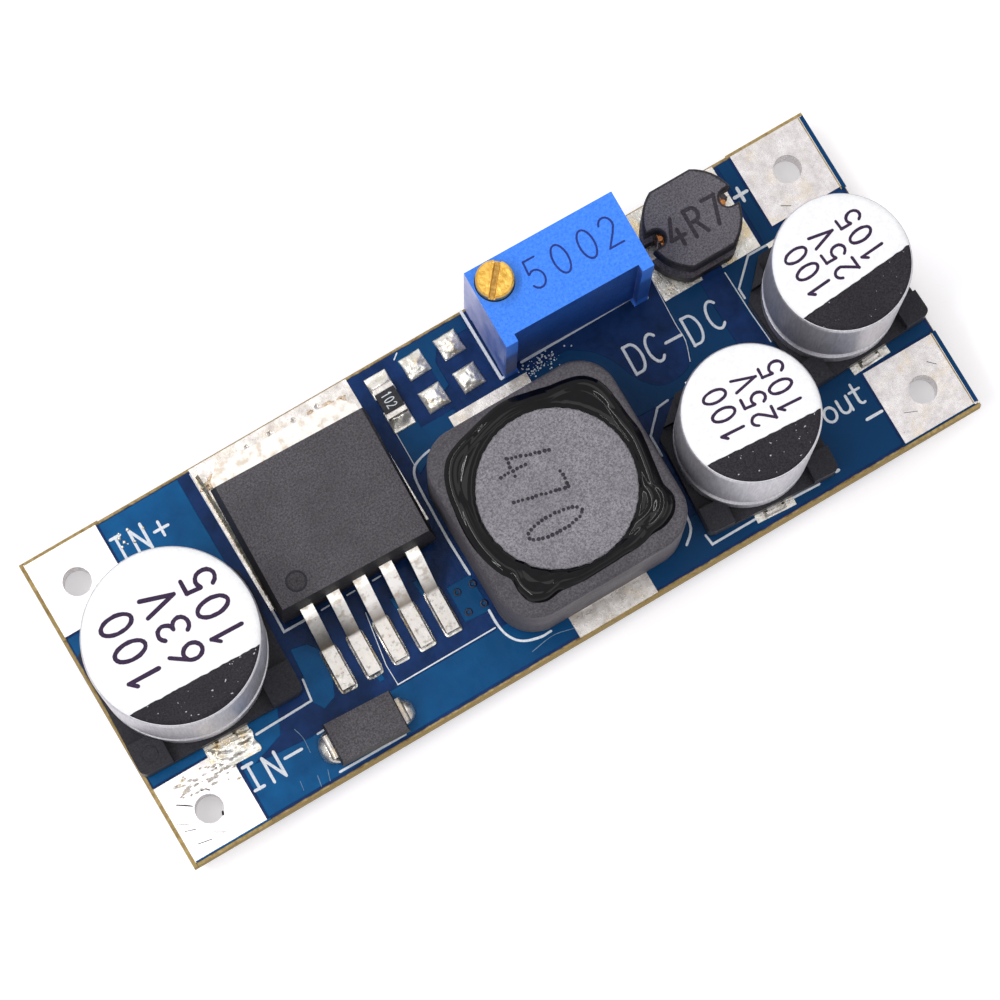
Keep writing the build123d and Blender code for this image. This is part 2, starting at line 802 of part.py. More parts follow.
# Solder of the three pins: a fill in each hole and a cone on the underside
with BuildPart() as pin_solder:
    for pin_place in pin_row:
        with BuildSketch(trimmer_seat):
            with Locations(pin_place):
                Circle(pin_hole_radius)
        extrude(amount=-board_thickness)
        with BuildSketch(trimmer_seat.offset(-board_thickness)):
            with Locations(pin_place):
                Circle(joint_radius)
        extrude(amount=-foil)
        with BuildSketch(trimmer_seat.offset(-board_thickness - foil)):
            with Locations(pin_place):
                Circle(joint_radius)
        with BuildSketch(trimmer_seat.offset(-board_thickness - joint_height)):
            with Locations(pin_place):
                Circle(joint_tip_radius)
        loft()
    add(pins, mode=Mode.SUBTRACT)
pin_solder.part.label = "trimmer_pin_solder"
export_step(pin_solder.part, "parts/trimmer_pin_solder.step")


# Diode terminal on one side: out of the moulding, down its end and back under it
def diode_terminal(sign):
    end = sign * (diode_span / 2 - diode_lead_thickness / 2)
    low = foil + diode_lead_thickness / 2
    high = diode_height / 2
    inner = sign * diode_chip[0] / 2
    start = diode_seat.from_local_coords((inner, 0, high))
    with BuildPart() as terminal:
        with BuildLine(upright(diode_seat)):
            FilletPolyline(
                (inner, high),
                (end, high),
                (end, low),
                (sign * (diode_span / 2 - diode_lead_under), low),
                radius=diode_lead_bend,
            )
        with BuildSketch(Plane(origin=start, x_dir=diode_seat.y_dir, z_dir=diode_seat.x_dir * sign)):
            Rectangle(diode_lead_width, diode_lead_thickness)
        sweep()
    return terminal.part


anode = diode_terminal(-1)
anode.label = "diode_anode_terminal"
export_step(anode, "parts/diode_anode_terminal.step")
cathode = diode_terminal(1)
cathode.label = "diode_cathode_terminal"
export_step(cathode, "parts/diode_cathode_terminal.step")

with BuildPart() as chip:
    with BuildSketch(diode_seat.offset((diode_height - diode_chip[2]) / 2)):
        Rectangle(diode_chip[0], diode_chip[1])
    extrude(amount=diode_chip[2])
chip.part.label = "diode_chip"
export_step(chip.part, "parts/diode_chip.step")

with BuildPart() as diode_body:
    with BuildSketch(diode_seat.offset(diode_height / 2)) as diode_outline:
        Rectangle(diode_length, diode_width)
    diode_under = foil + diode_lead_thickness
    extrude(amount=diode_height / 2, taper=diode_draft)
    extrude(diode_outline.sketch, amount=-(diode_height / 2 - diode_under), taper=diode_draft)
    add(anode, mode=Mode.SUBTRACT)
    add(cathode, mode=Mode.SUBTRACT)
    add(chip.part, mode=Mode.SUBTRACT)
diode_body.part.label = "diode_body"
export_step(diode_body.part, "parts/diode_body.step")

with BuildPart() as diode_solder:
    diode_land_x = diode_span / 2 - diode_land_inset
    diode_fillet_x = diode_span / 2 + diode_fillet_out
    with BuildSketch(diode_seat):
        with Locations((diode_land_x, 0), (-diode_land_x, 0)):
            Rectangle(*diode_land)
    extrude(amount=foil)
    with BuildSketch(diode_seat.offset(foil)):
        with Locations((diode_fillet_x, 0), (-diode_fillet_x, 0)):
            Rectangle(*diode_fillet_size)
    extrude(amount=diode_solder_height, taper=diode_fillet_taper)
    add(anode, mode=Mode.SUBTRACT)
    add(cathode, mode=Mode.SUBTRACT)
    add(diode_body.part, mode=Mode.SUBTRACT)
diode_solder.part.label = "diode_solder"
export_step(diode_solder.part, "parts/diode_solder.step")

# Chip resistor: ceramic body between two plated end caps
resistor_middle = (chip_first_x, chip_middle_y)
body_length = chip_length - 2 * chip_cap
with BuildPart() as end_caps:
    with BuildSketch(footprint.offset(foil)):
        with Locations(resistor_middle):
            with GridLocations(0, chip_length - chip_cap, 1, 2):
                Rectangle(chip_width, chip_cap)
    extrude(amount=chip_thickness)
    fillet(end_caps.edges().filter_by(Axis.X), chip_edge)
end_caps.part.label = "resistor_end_caps"
export_step(end_caps.part, "parts/resistor_end_caps.step")

with BuildPart() as resistor:
    with BuildSketch(footprint.offset(foil + chip_cap_wrap)):
        with Locations(resistor_middle):
            Rectangle(chip_width, body_length)
    extrude(amount=chip_thickness - 2 * chip_cap_wrap)
resistor.part.label = "resistor_body"
export_step(resistor.part, "parts/resistor_body.step")

with BuildPart() as resistor_solder:
    with BuildSketch(footprint):
        with Locations(resistor_middle):
            with GridLocations(0, chip_land_spacing, 1, 2):
                Rectangle(chip_land_side, chip_land_side)
    extrude(amount=foil)
    with BuildSketch(footprint.offset(foil)):
        with Locations(resistor_middle):
            with GridLocations(0, chip_land_spacing + chip_fillet_spread, 1, 2):
                Rectangle(*chip_fillet_size)
    extrude(amount=chip_fillet_height, taper=chip_fillet_taper)
    add(end_caps.part, mode=Mode.SUBTRACT)
    add(resistor.part, mode=Mode.SUBTRACT)
resistor_solder.part.label = "resistor_solder"
export_step(resistor_solder.part, "parts/resistor_solder.step")

# Four solder-domed lands of the two empty chip footprints
with BuildPart() as spare_lands:
    with BuildSketch(footprint):
        with Locations(spare_middle):
            with GridLocations(chip_pitch_x, chip_land_spacing, 2, 2):
                Rectangle(chip_land_side, chip_land_side)
    extrude(amount=foil)
    with BuildSketch(footprint.offset(foil)):
        with Locations(spare_middle):
            with GridLocations(chip_pitch_x, chip_land_spacing, 2, 2):
                Rectangle(chip_land_side - 2 * dome_inset, chip_land_side - 2 * dome_inset)
    extrude(amount=dome_height, taper=dome_taper)
spare_lands.part.label = "spare_solder_lands"
export_step(spare_lands.part, "parts/spare_solder_lands.step")
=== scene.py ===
import json
import math
import random

import bmesh
import bpy
from mathutils import Matrix, Vector, noise


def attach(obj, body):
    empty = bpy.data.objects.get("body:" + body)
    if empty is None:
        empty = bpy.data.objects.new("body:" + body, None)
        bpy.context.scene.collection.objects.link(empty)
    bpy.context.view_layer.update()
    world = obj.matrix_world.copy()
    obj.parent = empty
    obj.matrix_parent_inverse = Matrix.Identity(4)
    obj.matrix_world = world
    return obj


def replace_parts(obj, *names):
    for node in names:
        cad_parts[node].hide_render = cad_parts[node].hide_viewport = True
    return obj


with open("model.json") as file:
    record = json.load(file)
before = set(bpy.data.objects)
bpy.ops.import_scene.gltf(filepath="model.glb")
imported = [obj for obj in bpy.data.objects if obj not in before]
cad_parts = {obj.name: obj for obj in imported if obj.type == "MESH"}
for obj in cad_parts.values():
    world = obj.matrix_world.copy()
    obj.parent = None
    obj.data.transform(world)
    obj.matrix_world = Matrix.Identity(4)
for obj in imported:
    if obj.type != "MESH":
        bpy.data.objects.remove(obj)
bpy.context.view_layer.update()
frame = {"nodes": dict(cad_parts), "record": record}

MM = 0.001
TOP = 1.6
BOARD_HALF = (26.3, 10.1)
MASK_GLOSS = 0.07
DULL_GLOSS = 0.14
FOIL = 0.07
nodes = frame["nodes"]
scene = bpy.context.scene


# Shader helpers
class Look:
    """One procedural material, with coordinates in millimetres of the shared frame."""

    def __init__(self, name):
        self.mat = bpy.data.materials.new(name)
        self.mat.use_nodes = True
        self.tree = self.mat.node_tree
        self.tree.nodes.clear()
        self.out = self.add("ShaderNodeOutputMaterial")
        self.bsdf = self.add("ShaderNodeBsdfPrincipled")
        self.tree.links.new(self.bsdf.outputs[0], self.out.inputs[0])
        coord = self.add("ShaderNodeTexCoord")
        scale = self.add("ShaderNodeVectorMath", operation="SCALE")
        scale.inputs["Scale"].default_value = 1 / MM
        self.tree.links.new(coord.outputs["Object"], scale.inputs[0])
        self.point = scale.outputs[0]

    def add(self, kind, **settings):
        node = self.tree.nodes.new(kind)
        for key, value in settings.items():
            setattr(node, key, value)
        return node

    def put(self, socket, value):
        if isinstance(value, bpy.types.NodeSocket):
            self.tree.links.new(value, socket)
        elif hasattr(value, "__len__") and len(value) == 3 and len(socket.default_value) == 4:
            socket.default_value = (*value, 1)
        else:
            socket.default_value = value

    def stretched(self, factors):
        node = self.add("ShaderNodeMapping")
        self.put(node.inputs["Vector"], self.point)
        node.inputs["Scale"].default_value = factors
        return node.outputs[0]

    def noise(self, scale, detail=3.0, rough=0.55, where=None):
        node = self.add("ShaderNodeTexNoise")
        self.put(node.inputs["Vector"], where or self.point)
        node.inputs["Scale"].default_value = scale
        node.inputs["Detail"].default_value = detail
        node.inputs["Roughness"].default_value = rough
        return node.outputs["Fac"]

    def span(self, value, low, high, out_low=0.0, out_high=1.0):
        node = self.add("ShaderNodeMapRange")
        self.put(node.inputs["Value"], value)
        for name, number in (("From Min", low), ("From Max", high), ("To Min", out_low),
                             ("To Max", out_high)):
            node.inputs[name].default_value = number
        return node.outputs[0]

    def math(self, operation, a, b=0.0):
        node = self.add("ShaderNodeMath", operation=operation)
        self.put(node.inputs[0], a)
        self.put(node.inputs[1], b)
        return node.outputs[0]

    def mix(self, factor, a, b):
        node = self.add("ShaderNodeMix", data_type="RGBA")
        self.put(node.inputs["Factor"], factor)
        self.put(node.inputs["A"], a)
        self.put(node.inputs["B"], b)
        return node.outputs["Result"]

    def axis(self, name):
        node = self.add("ShaderNodeSeparateXYZ")
        self.put(node.inputs[0], self.point)
        return node.outputs[name]

    def normal(self, name):
        node = self.add("ShaderNodeSeparateXYZ")
        self.put(node.inputs[0], self.add("ShaderNodeNewGeometry").outputs["Normal"])
        return node.outputs[name]

    def facing(self, name):
        return self.math("ABSOLUTE", self.normal(name))

    def bump(self, height, depth, strength=1.0):
        node = self.add("ShaderNodeBump")
        node.inputs["Strength"].default_value = strength
        node.inputs["Distance"].default_value = depth * MM
        self.put(node.inputs["Height"], height)
        self.put(self.bsdf.inputs["Normal"], node.outputs[0])

    def set(self, **values):
        for name, value in values.items():
            self.put(self.bsdf.inputs[name.replace("_", " ")], value)
        return self


def plain_surface(name, dark, light, scale, rough, grain, depth, metallic=0.0, detail=4.0, **values):
    """Colour that drifts between two tones, roughness that follows it and a fine bump."""
    look = Look(name)
    broad = look.noise(scale, detail)
    look.set(Base_Color=look.mix(look.span(broad, 0.32, 0.68), dark, light))
    look.set(Roughness=look.span(look.noise(scale * 2.3, 3), 0.3, 0.7, rough[0], rough[1]))
    look.set(Metallic=metallic, **values)
    look.bump(look.noise(grain, 2), depth)
    return look.mat


# Materials
def board_look():
    look = Look("laminate_and_mask")
    from_middle = look.math("ABSOLUTE", look.math("SUBTRACT", look.axis("X"), 0.1))
    inside_x = look.math("SUBTRACT", BOARD_HALF[0] + 0.1, from_middle)
    inside_y = look.math("SUBTRACT", BOARD_HALF[1], look.math("ABSOLUTE", look.axis("Y")))
    ragged = look.math("MULTIPLY", look.noise(2.5, 3), 0.12)
    inside = look.math("SUBTRACT", look.math("MINIMUM", inside_x, inside_y), ragged)
    masked = look.span(inside, 0.13, 0.19)
    flat = look.math("MULTIPLY", look.span(look.facing("Z"), 0.985, 0.995), masked)
    cloudy = look.noise(0.9, 3)
    mask = look.mix(look.span(cloudy, 0.3, 0.7), (0.0042, 0.0196, 0.0756), (0.0084, 0.035, 0.137))
    fibres = look.noise(6.0, 4, 0.7, look.stretched((0.35, 0.35, 9.0)))
    glass = look.mix(look.span(fibres, 0.35, 0.7), (0.213, 0.138, 0.0438), (0.525, 0.388, 0.163))
    look.set(Base_Color=look.mix(flat, glass, mask))
    look.set(Roughness=look.span(flat, 0.0, 1.0, 0.62, 0.22))
    look.set(Specular_IOR_Level=MASK_GLOSS)
    weave = look.math("ADD", look.noise(2.2, 2), look.math("MULTIPLY", look.noise(14.0, 3), 0.25))
    look.bump(look.math("ADD", weave, look.math("MULTIPLY", fibres, look.span(flat, 0, 1, 2.0, 0.0))), 0.02)
    return look.mat


def pour_look():
    look = Look("mask_over_copper")
    cloudy = look.noise(0.55, 4)
    tone = look.mix(look.span(cloudy, 0.3, 0.7), (0.0028, 0.063, 0.189), (0.0042, 0.105, 0.287))
    # Painted shade: the pour darkens from x = -20 to x = 6 mm, standing in for light falling off to the
    # right.
    tone = look.mix(look.span(look.axis("X"), -20.0, 6.0), tone, (0.0035, 0.042, 0.125))
    look.set(Base_Color=tone, Roughness=look.span(look.noise(5.0), 0.3, 0.7, 0.18, 0.27))
    look.set(Specular_IOR_Level=MASK_GLOSS)
    look.bump(look.math("ADD", look.noise(1.7, 2), look.math("MULTIPLY", look.noise(16, 3), 0.2)), 0.02)
    return look.mat


def tin_look(name, light, dark, rough, depth, stain=0.0, metallic=0.9):
    look = Look(name)
    spangle = look.noise(1.3, 5, 0.65)
    fine = look.noise(9.0, 4, 0.7)
    tone = look.mix(look.span(spangle, 0.35, 0.66), light, dark)
    dull = look.mix(look.span(fine, 0.58, 0.70, 0.0, 0.75), tone, tuple(0.40 * c for c in dark))
    if stain:
        ring = look.span(look.noise(0.8, 3), 0.55, 0.68, 0.0, stain)
        dull = look.mix(ring, dull, (0.66, 0.50, 0.26))
    look.set(Base_Color=dull, Metallic=metallic)
    look.set(Roughness=look.span(look.noise(4.5, 4), 0.3, 0.7, rough[0], rough[1]))
    look.bump(look.math("ADD", look.noise(1.1, 4), look.math("MULTIPLY", look.noise(11.0, 4), 0.35)), depth)
    return look.mat


def foot_look():
    """Formed lead: painted highlight at the shoulder, painted brownish shade lower down with brown blotches,
    scuffed on the foot.
    """
    look = Look("formed_lead")
    height = look.axis("Z")
    scuffs = look.noise(2.6, 5, 0.75, look.stretched((1.0, 1.0, 0.2)))
    blotch = look.noise(1.6, 4, 0.6)
    # Painted highlight and shade: the slant is bright near the shoulder and darker lower down, by height
    # alone.
    slant_with_painted_light = look.mix(look.span(height, 2.1, 3.4), (0.24, 0.21, 0.185), (0.88, 0.85, 0.81))
    slant_with_painted_light = look.mix(look.span(blotch, 0.50, 0.62, 0.0, 0.5), slant_with_painted_light, (0.36, 0.26, 0.16))
    foot = look.mix(look.span(scuffs, 0.53, 0.66), (0.60, 0.58, 0.56), (0.22, 0.20, 0.18))
    tone = look.mix(look.span(height, 2.05, 2.25), foot, slant_with_painted_light)
    look.set(Base_Color=tone, Metallic=0.9, Roughness=look.span(blotch, 0.3, 0.7, 0.26, 0.40))
    look.bump(look.math("ADD", blotch, look.math("MULTIPLY", scuffs, 0.5)), 0.015)
    return look.mat


def grain_look(name, dark, light, rough, depth, size=10.0, side=None, specks=False, **values):
    """Sintered or moulded surface: two-tone grain over a slow drift; side darkens its sides as painted
    shade.
    """
    look = Look(name)
    grain = look.noise(size, 3, 0.8)
    slow = look.noise(0.4, 3)
    mid = look.mix(look.span(grain, 0.36, 0.64), dark, light)
    tone = look.mix(look.span(slow, 0.3, 0.7, 0.0, 0.35), mid, dark)
    # Painted shade: with side given, faces that are not flat on top take a darker copy of the grain.
    if side is not None:
        shaded = look.mix(look.span(grain, 0.36, 0.64), tuple(side * c for c in dark),
                          tuple(side * c for c in light))
        tone = look.mix(look.span(look.facing("Z"), 0.90, 0.98), shaded, tone)
    if specks:
        tone = look.mix(look.span(look.noise(5.0, 1), 0.735, 0.755), tone, (0.45, 0.43, 0.47))
    look.set(Base_Color=tone)
    look.set(Roughness=look.span(slow, 0.3, 0.7, rough[0], rough[1]), Specular_IOR_Level=DULL_GLOSS)
    look.set(**values)
    look.bump(look.noise(size * 0.8, 3, 0.7), depth)
    return look.mat


def can_look():
    look = Look("drawn_aluminium")
    drawn = look.noise(2.0, 4, 0.6, look.stretched((4.0, 4.0, 0.35)))
    tone = look.mix(look.span(drawn, 0.3, 0.7), (0.38, 0.37, 0.40), (0.56, 0.55, 0.59))
    look.set(Base_Color=tone, Metallic=0.72)
    look.set(Roughness=look.span(look.noise(3.0, 3), 0.3, 0.7, 0.34, 0.46))
    look.bump(drawn, 0.01)
    return look.mat


def trimmer_look():
    """Blue plastic: painted shade in the front recess and on its posts, a painted reflection on the side by
    the screw.
    """
    look = Look("trimmer_plastic")
    grain = look.noise(6.0, 3, 0.8)
    tone = look.mix(look.span(grain, 0.36, 0.64), (0.036, 0.185, 0.80), (0.070, 0.265, 0.94))
    # Painted shade: front faces set back inside the recess take a darker blue.
    front = look.span(look.normal("Y"), -0.8, -0.95)
    inner = look.math("MULTIPLY", front, look.span(look.axis("Y"), 5.32, 5.45))
    painted_shade_blue = look.mix(look.span(look.noise(1.2, 3), 0.3, 0.7), (0.014, 0.066, 0.300), (0.022, 0.095, 0.400))
    tone = look.mix(inner, tone, painted_shade_blue)
    # Painted reflection: the side facing -X turns pale lilac towards the rear and darker blue towards the
    # front, with streaks.
    side = look.span(look.normal("X"), -0.8, -0.95)
    streaks = look.noise(1.0, 4, 0.65, look.stretched((1.0, 0.7, 0.22)))
    painted_reflection_mask = look.math("ADD", look.span(look.axis("Y"), 6.4, 9.4, 0.0, 0.55),
                     look.span(streaks, 0.40, 0.66, 0.0, 0.35))
    painted_reflection = look.mix(painted_reflection_mask, (0.022, 0.090, 0.380), (0.55, 0.56, 0.86))
    tone = look.mix(side, tone, painted_reflection)
    # Painted shade: the posts' front faces are darker between about 1 and 7 mm above the board.
    height = look.axis("Z")
    painted_post_shade = look.math("MULTIPLY", look.span(height, 2.6, 3.2), look.span(height, 8.8, 7.8))
    painted_post_shade = look.math("MULTIPLY", painted_post_shade, look.span(look.axis("Y"), 5.50, 5.40, 0.0, 0.85))
    tone = look.mix(painted_post_shade, tone, painted_shade_blue)
    look.set(Base_Color=tone, Roughness=look.span(grain, 0.3, 0.7, 0.34, 0.46),
             Specular_IOR_Level=DULL_GLOSS)
    look.bump(look.noise(5.0, 3, 0.7), 0.02)
    return look.mat


def ink_look(name, dark, light, rough=(0.45, 0.6), size=7.0, depth=0.008):
    return grain_look(name, dark, light, rough, depth, size)


LOOKS = {
    "board": board_look(),
    "pour": pour_look(),
    "silk": ink_look("legend_ink", (0.6, 0.66, 0.744), (0.86, 0.86, 0.86)),
    "tin": tin_look("tinned_land", (0.72, 0.685, 0.685), (0.57, 0.535, 0.53), (0.20, 0.32), 0.012, 0.25),
    "solder": tin_look("solder", (0.78, 0.76, 0.72), (0.42, 0.39, 0.34), (0.20, 0.38), 0.035, 0.7),
    "lead": tin_look("plated_lead", (0.66, 0.63, 0.61), (0.40, 0.365, 0.34), (0.22, 0.36), 0.012, 0.15),
    "foot": foot_look(),
    "clip": tin_look("plated_clip", (0.50, 0.465, 0.435), (0.27, 0.245, 0.22), (0.30, 0.45), 0.03, 0.5),
    "dome": tin_look("slumped_solder", (0.90, 0.88, 0.84), (0.66, 0.62, 0.54), (0.22, 0.38), 0.03, 0.8,
                     0.65),
    "laminate": plain_surface("bare_laminate", (0.24, 0.16, 0.055), (0.46, 0.34, 0.15), 3.0, (0.55, 0.7),
                              9.0, 0.01,
                              Specular_IOR_Level=0.1),
    "scratch": ink_look("scratched_mask", (0.10, 0.17, 0.27), (0.26, 0.36, 0.48)),
    "dimple": ink_look("mould_dimple", (0.022, 0.020, 0.023), (0.090, 0.083, 0.094), (0.5, 0.6), 9.0, 0.02),
    "burr": tin_look("sheared_edge", (0.74, 0.68, 0.50), (0.34, 0.29, 0.17), (0.25, 0.45), 0.05, 0.5),
    # Painted shade: side=0.25 darkens the sides of the mould compound.
    "mould": grain_look("mould_compound", (0.036, 0.033, 0.037), (0.122, 0.114, 0.128), (0.5, 0.62), 0.025,
                        9.0, side=0.25),
    "silicon": plain_surface("silicon", (0.28, 0.294, 0.35), (0.42, 0.434, 0.504), 3.0, (0.15, 0.25), 20.0,
                             0.002),
    "can": can_look(),
    "print_white": ink_look("can_white_film", (0.80, 0.80, 0.82), (0.88, 0.88, 0.89), (0.38, 0.5), 3.0,
                            0.006),
    "print_black": grain_look("can_black_ink", (0.007, 0.006, 0.010), (0.034, 0.029, 0.037), (0.35, 0.5),
                              0.01, 9.0, specks=True),
    "print_text": ink_look("can_text_ink", (0.018, 0.007, 0.030), (0.050, 0.026, 0.072), (0.4, 0.5), 9.0,
                           0.01),
    "base": grain_look("base_plastic", (0.014, 0.014, 0.0182), (0.0336, 0.0336, 0.0406), (0.38, 0.5), 0.015,
                       9.0),
    "shield": grain_look("shield_ferrite", (0.0476, 0.0434, 0.0504), (0.119, 0.111, 0.126), (0.5, 0.65),
                         0.03, 9.0),
    "disc": grain_look("drum_ferrite", (0.105, 0.098, 0.112), (0.335, 0.315, 0.350), (0.55, 0.7), 0.035,
                       9.0),
    # Painted shade: side=0.25 darkens the sides of the bobbin.
    "bobbin": grain_look("bobbin_ferrite", (0.055, 0.050, 0.058), (0.175, 0.163, 0.185), (0.5, 0.65), 0.03,
                         9.0, side=0.25),
    "bobbin_ink": ink_look("bobbin_ink", (0.0168, 0.014, 0.0196), (0.0504, 0.042, 0.056)),
    "glue": plain_surface("black_epoxy", (0.001, 0.001, 0.002), (0.003, 0.003, 0.004), 1.5, (0.04, 0.08),
                          0.5, 0.002,
                          Specular_IOR_Level=0.18),
    "copper": plain_surface("enamelled_copper", (0.20, 0.06, 0.02), (0.50, 0.20, 0.06), 2.0, (0.2, 0.32),
                            9.0, 0.01, 0.8),
    "blue": trimmer_look(),
    "blue_ink": ink_look("trimmer_ink", (0.014, 0.028, 0.168), (0.0252, 0.0448, 0.238)),
    "potting": plain_surface("potting", (0.028, 0.084, 0.28), (0.056, 0.126, 0.392), 1.0, (0.2, 0.35), 2.0,
                             0.05),
    "ceramic": plain_surface("ceramic", (0.78, 0.77, 0.72), (0.86, 0.85, 0.81), 1.5, (0.5, 0.6), 12.0,
                             0.01),
    "brass": plain_surface("brass", (0.50, 0.27, 0.045), (0.80, 0.50, 0.12), 2.4, (0.24, 0.38), 5.0, 0.03,
                           1.0),
    "rubber": plain_surface("rubber", (0.0168, 0.0168, 0.0168), (0.028, 0.028, 0.028), 3.0, (0.6, 0.7),
                            14.0, 0.01),
    "nylon": plain_surface("nylon", (0.72, 0.71, 0.66), (0.82, 0.81, 0.77), 2.0, (0.4, 0.5), 9.0, 0.01),
    "spring": plain_surface("spring_bronze", (0.55, 0.43, 0.24), (0.72, 0.60, 0.38), 4.0, (0.25, 0.35),
                            12.0, 0.004, 1.0),
    "resistor": plain_surface("resistor_glaze", (0.014, 0.014, 0.0168), (0.0336, 0.0336, 0.0392), 5.0,
                              (0.3, 0.42), 16.0,
                              0.008, Specular_IOR_Level=0.2),
    "hole": plain_surface("tented_hole", (0.0042, 0.0112, 0.0308), (0.0084, 0.0196, 0.056), 6.0, (0.3, 0.4),
                          9.0, 0.01,
                          Specular_IOR_Level=0.3),
    # Darker brass tone laid on the floor of the screw's slot.
    "dark_slot_floor": plain_surface("darker_slot_floor", (0.36, 0.19, 0.04), (0.66, 0.42, 0.11), 5.0, (0.35, 0.5), 9.0,
                           0.02, 0.8),
    "flux": plain_surface("flux_residue", (0.36, 0.22, 0.12), (0.72, 0.60, 0.46), 4.0, (0.2, 0.35), 7.0,
                          0.03, 0.4),
}

BY_SLOT = {
    "solder_mask": "board", "tin": "solder", "lead_metal": "lead", "mould_compound": "mould",
    "silicon": "silicon", "can_aluminium": "can", "base_plastic": "base", "ferrite": "shield",
    "black_glue": "glue", "enamelled_copper": "copper", "trimmer_blue": "blue",
    "potting_resin": "potting", "white_ceramic": "ceramic", "brass": "brass",
    "seal_rubber": "rubber", "nylon": "nylon", "spring_metal": "spring", "resistor_black": "resistor",
}
BY_NODE = {
    "power_inductor_drum": "disc", "filter_inductor_drum": "bobbin",
    "input_positive_terminal": "tin", "input_negative_terminal": "tin",
    "output_positive_terminal": "tin", "output_negative_terminal": "tin",
    "regulator_tab_pad": "lead", "regulator_tab": "foot", "regulator_lead_1": "foot",
    "regulator_lead_2": "foot", "regulator_lead_4": "foot", "regulator_lead_5": "foot",
    "power_inductor_clips": "clip", "power_inductor_solder": "lead",
    "diode_anode_terminal": "clip", "diode_cathode_terminal": "clip",
}
for part in frame["record"]["subparts"]:
    name = part["node"]
    look = LOOKS[BY_NODE.get(name, BY_SLOT[part["material_slot"]])]
    node = nodes[name]
    if not node.data.materials:
        node.data.materials.append(look)
    for number in range(len(node.data.materials)):
        node.data.materials[number] = look


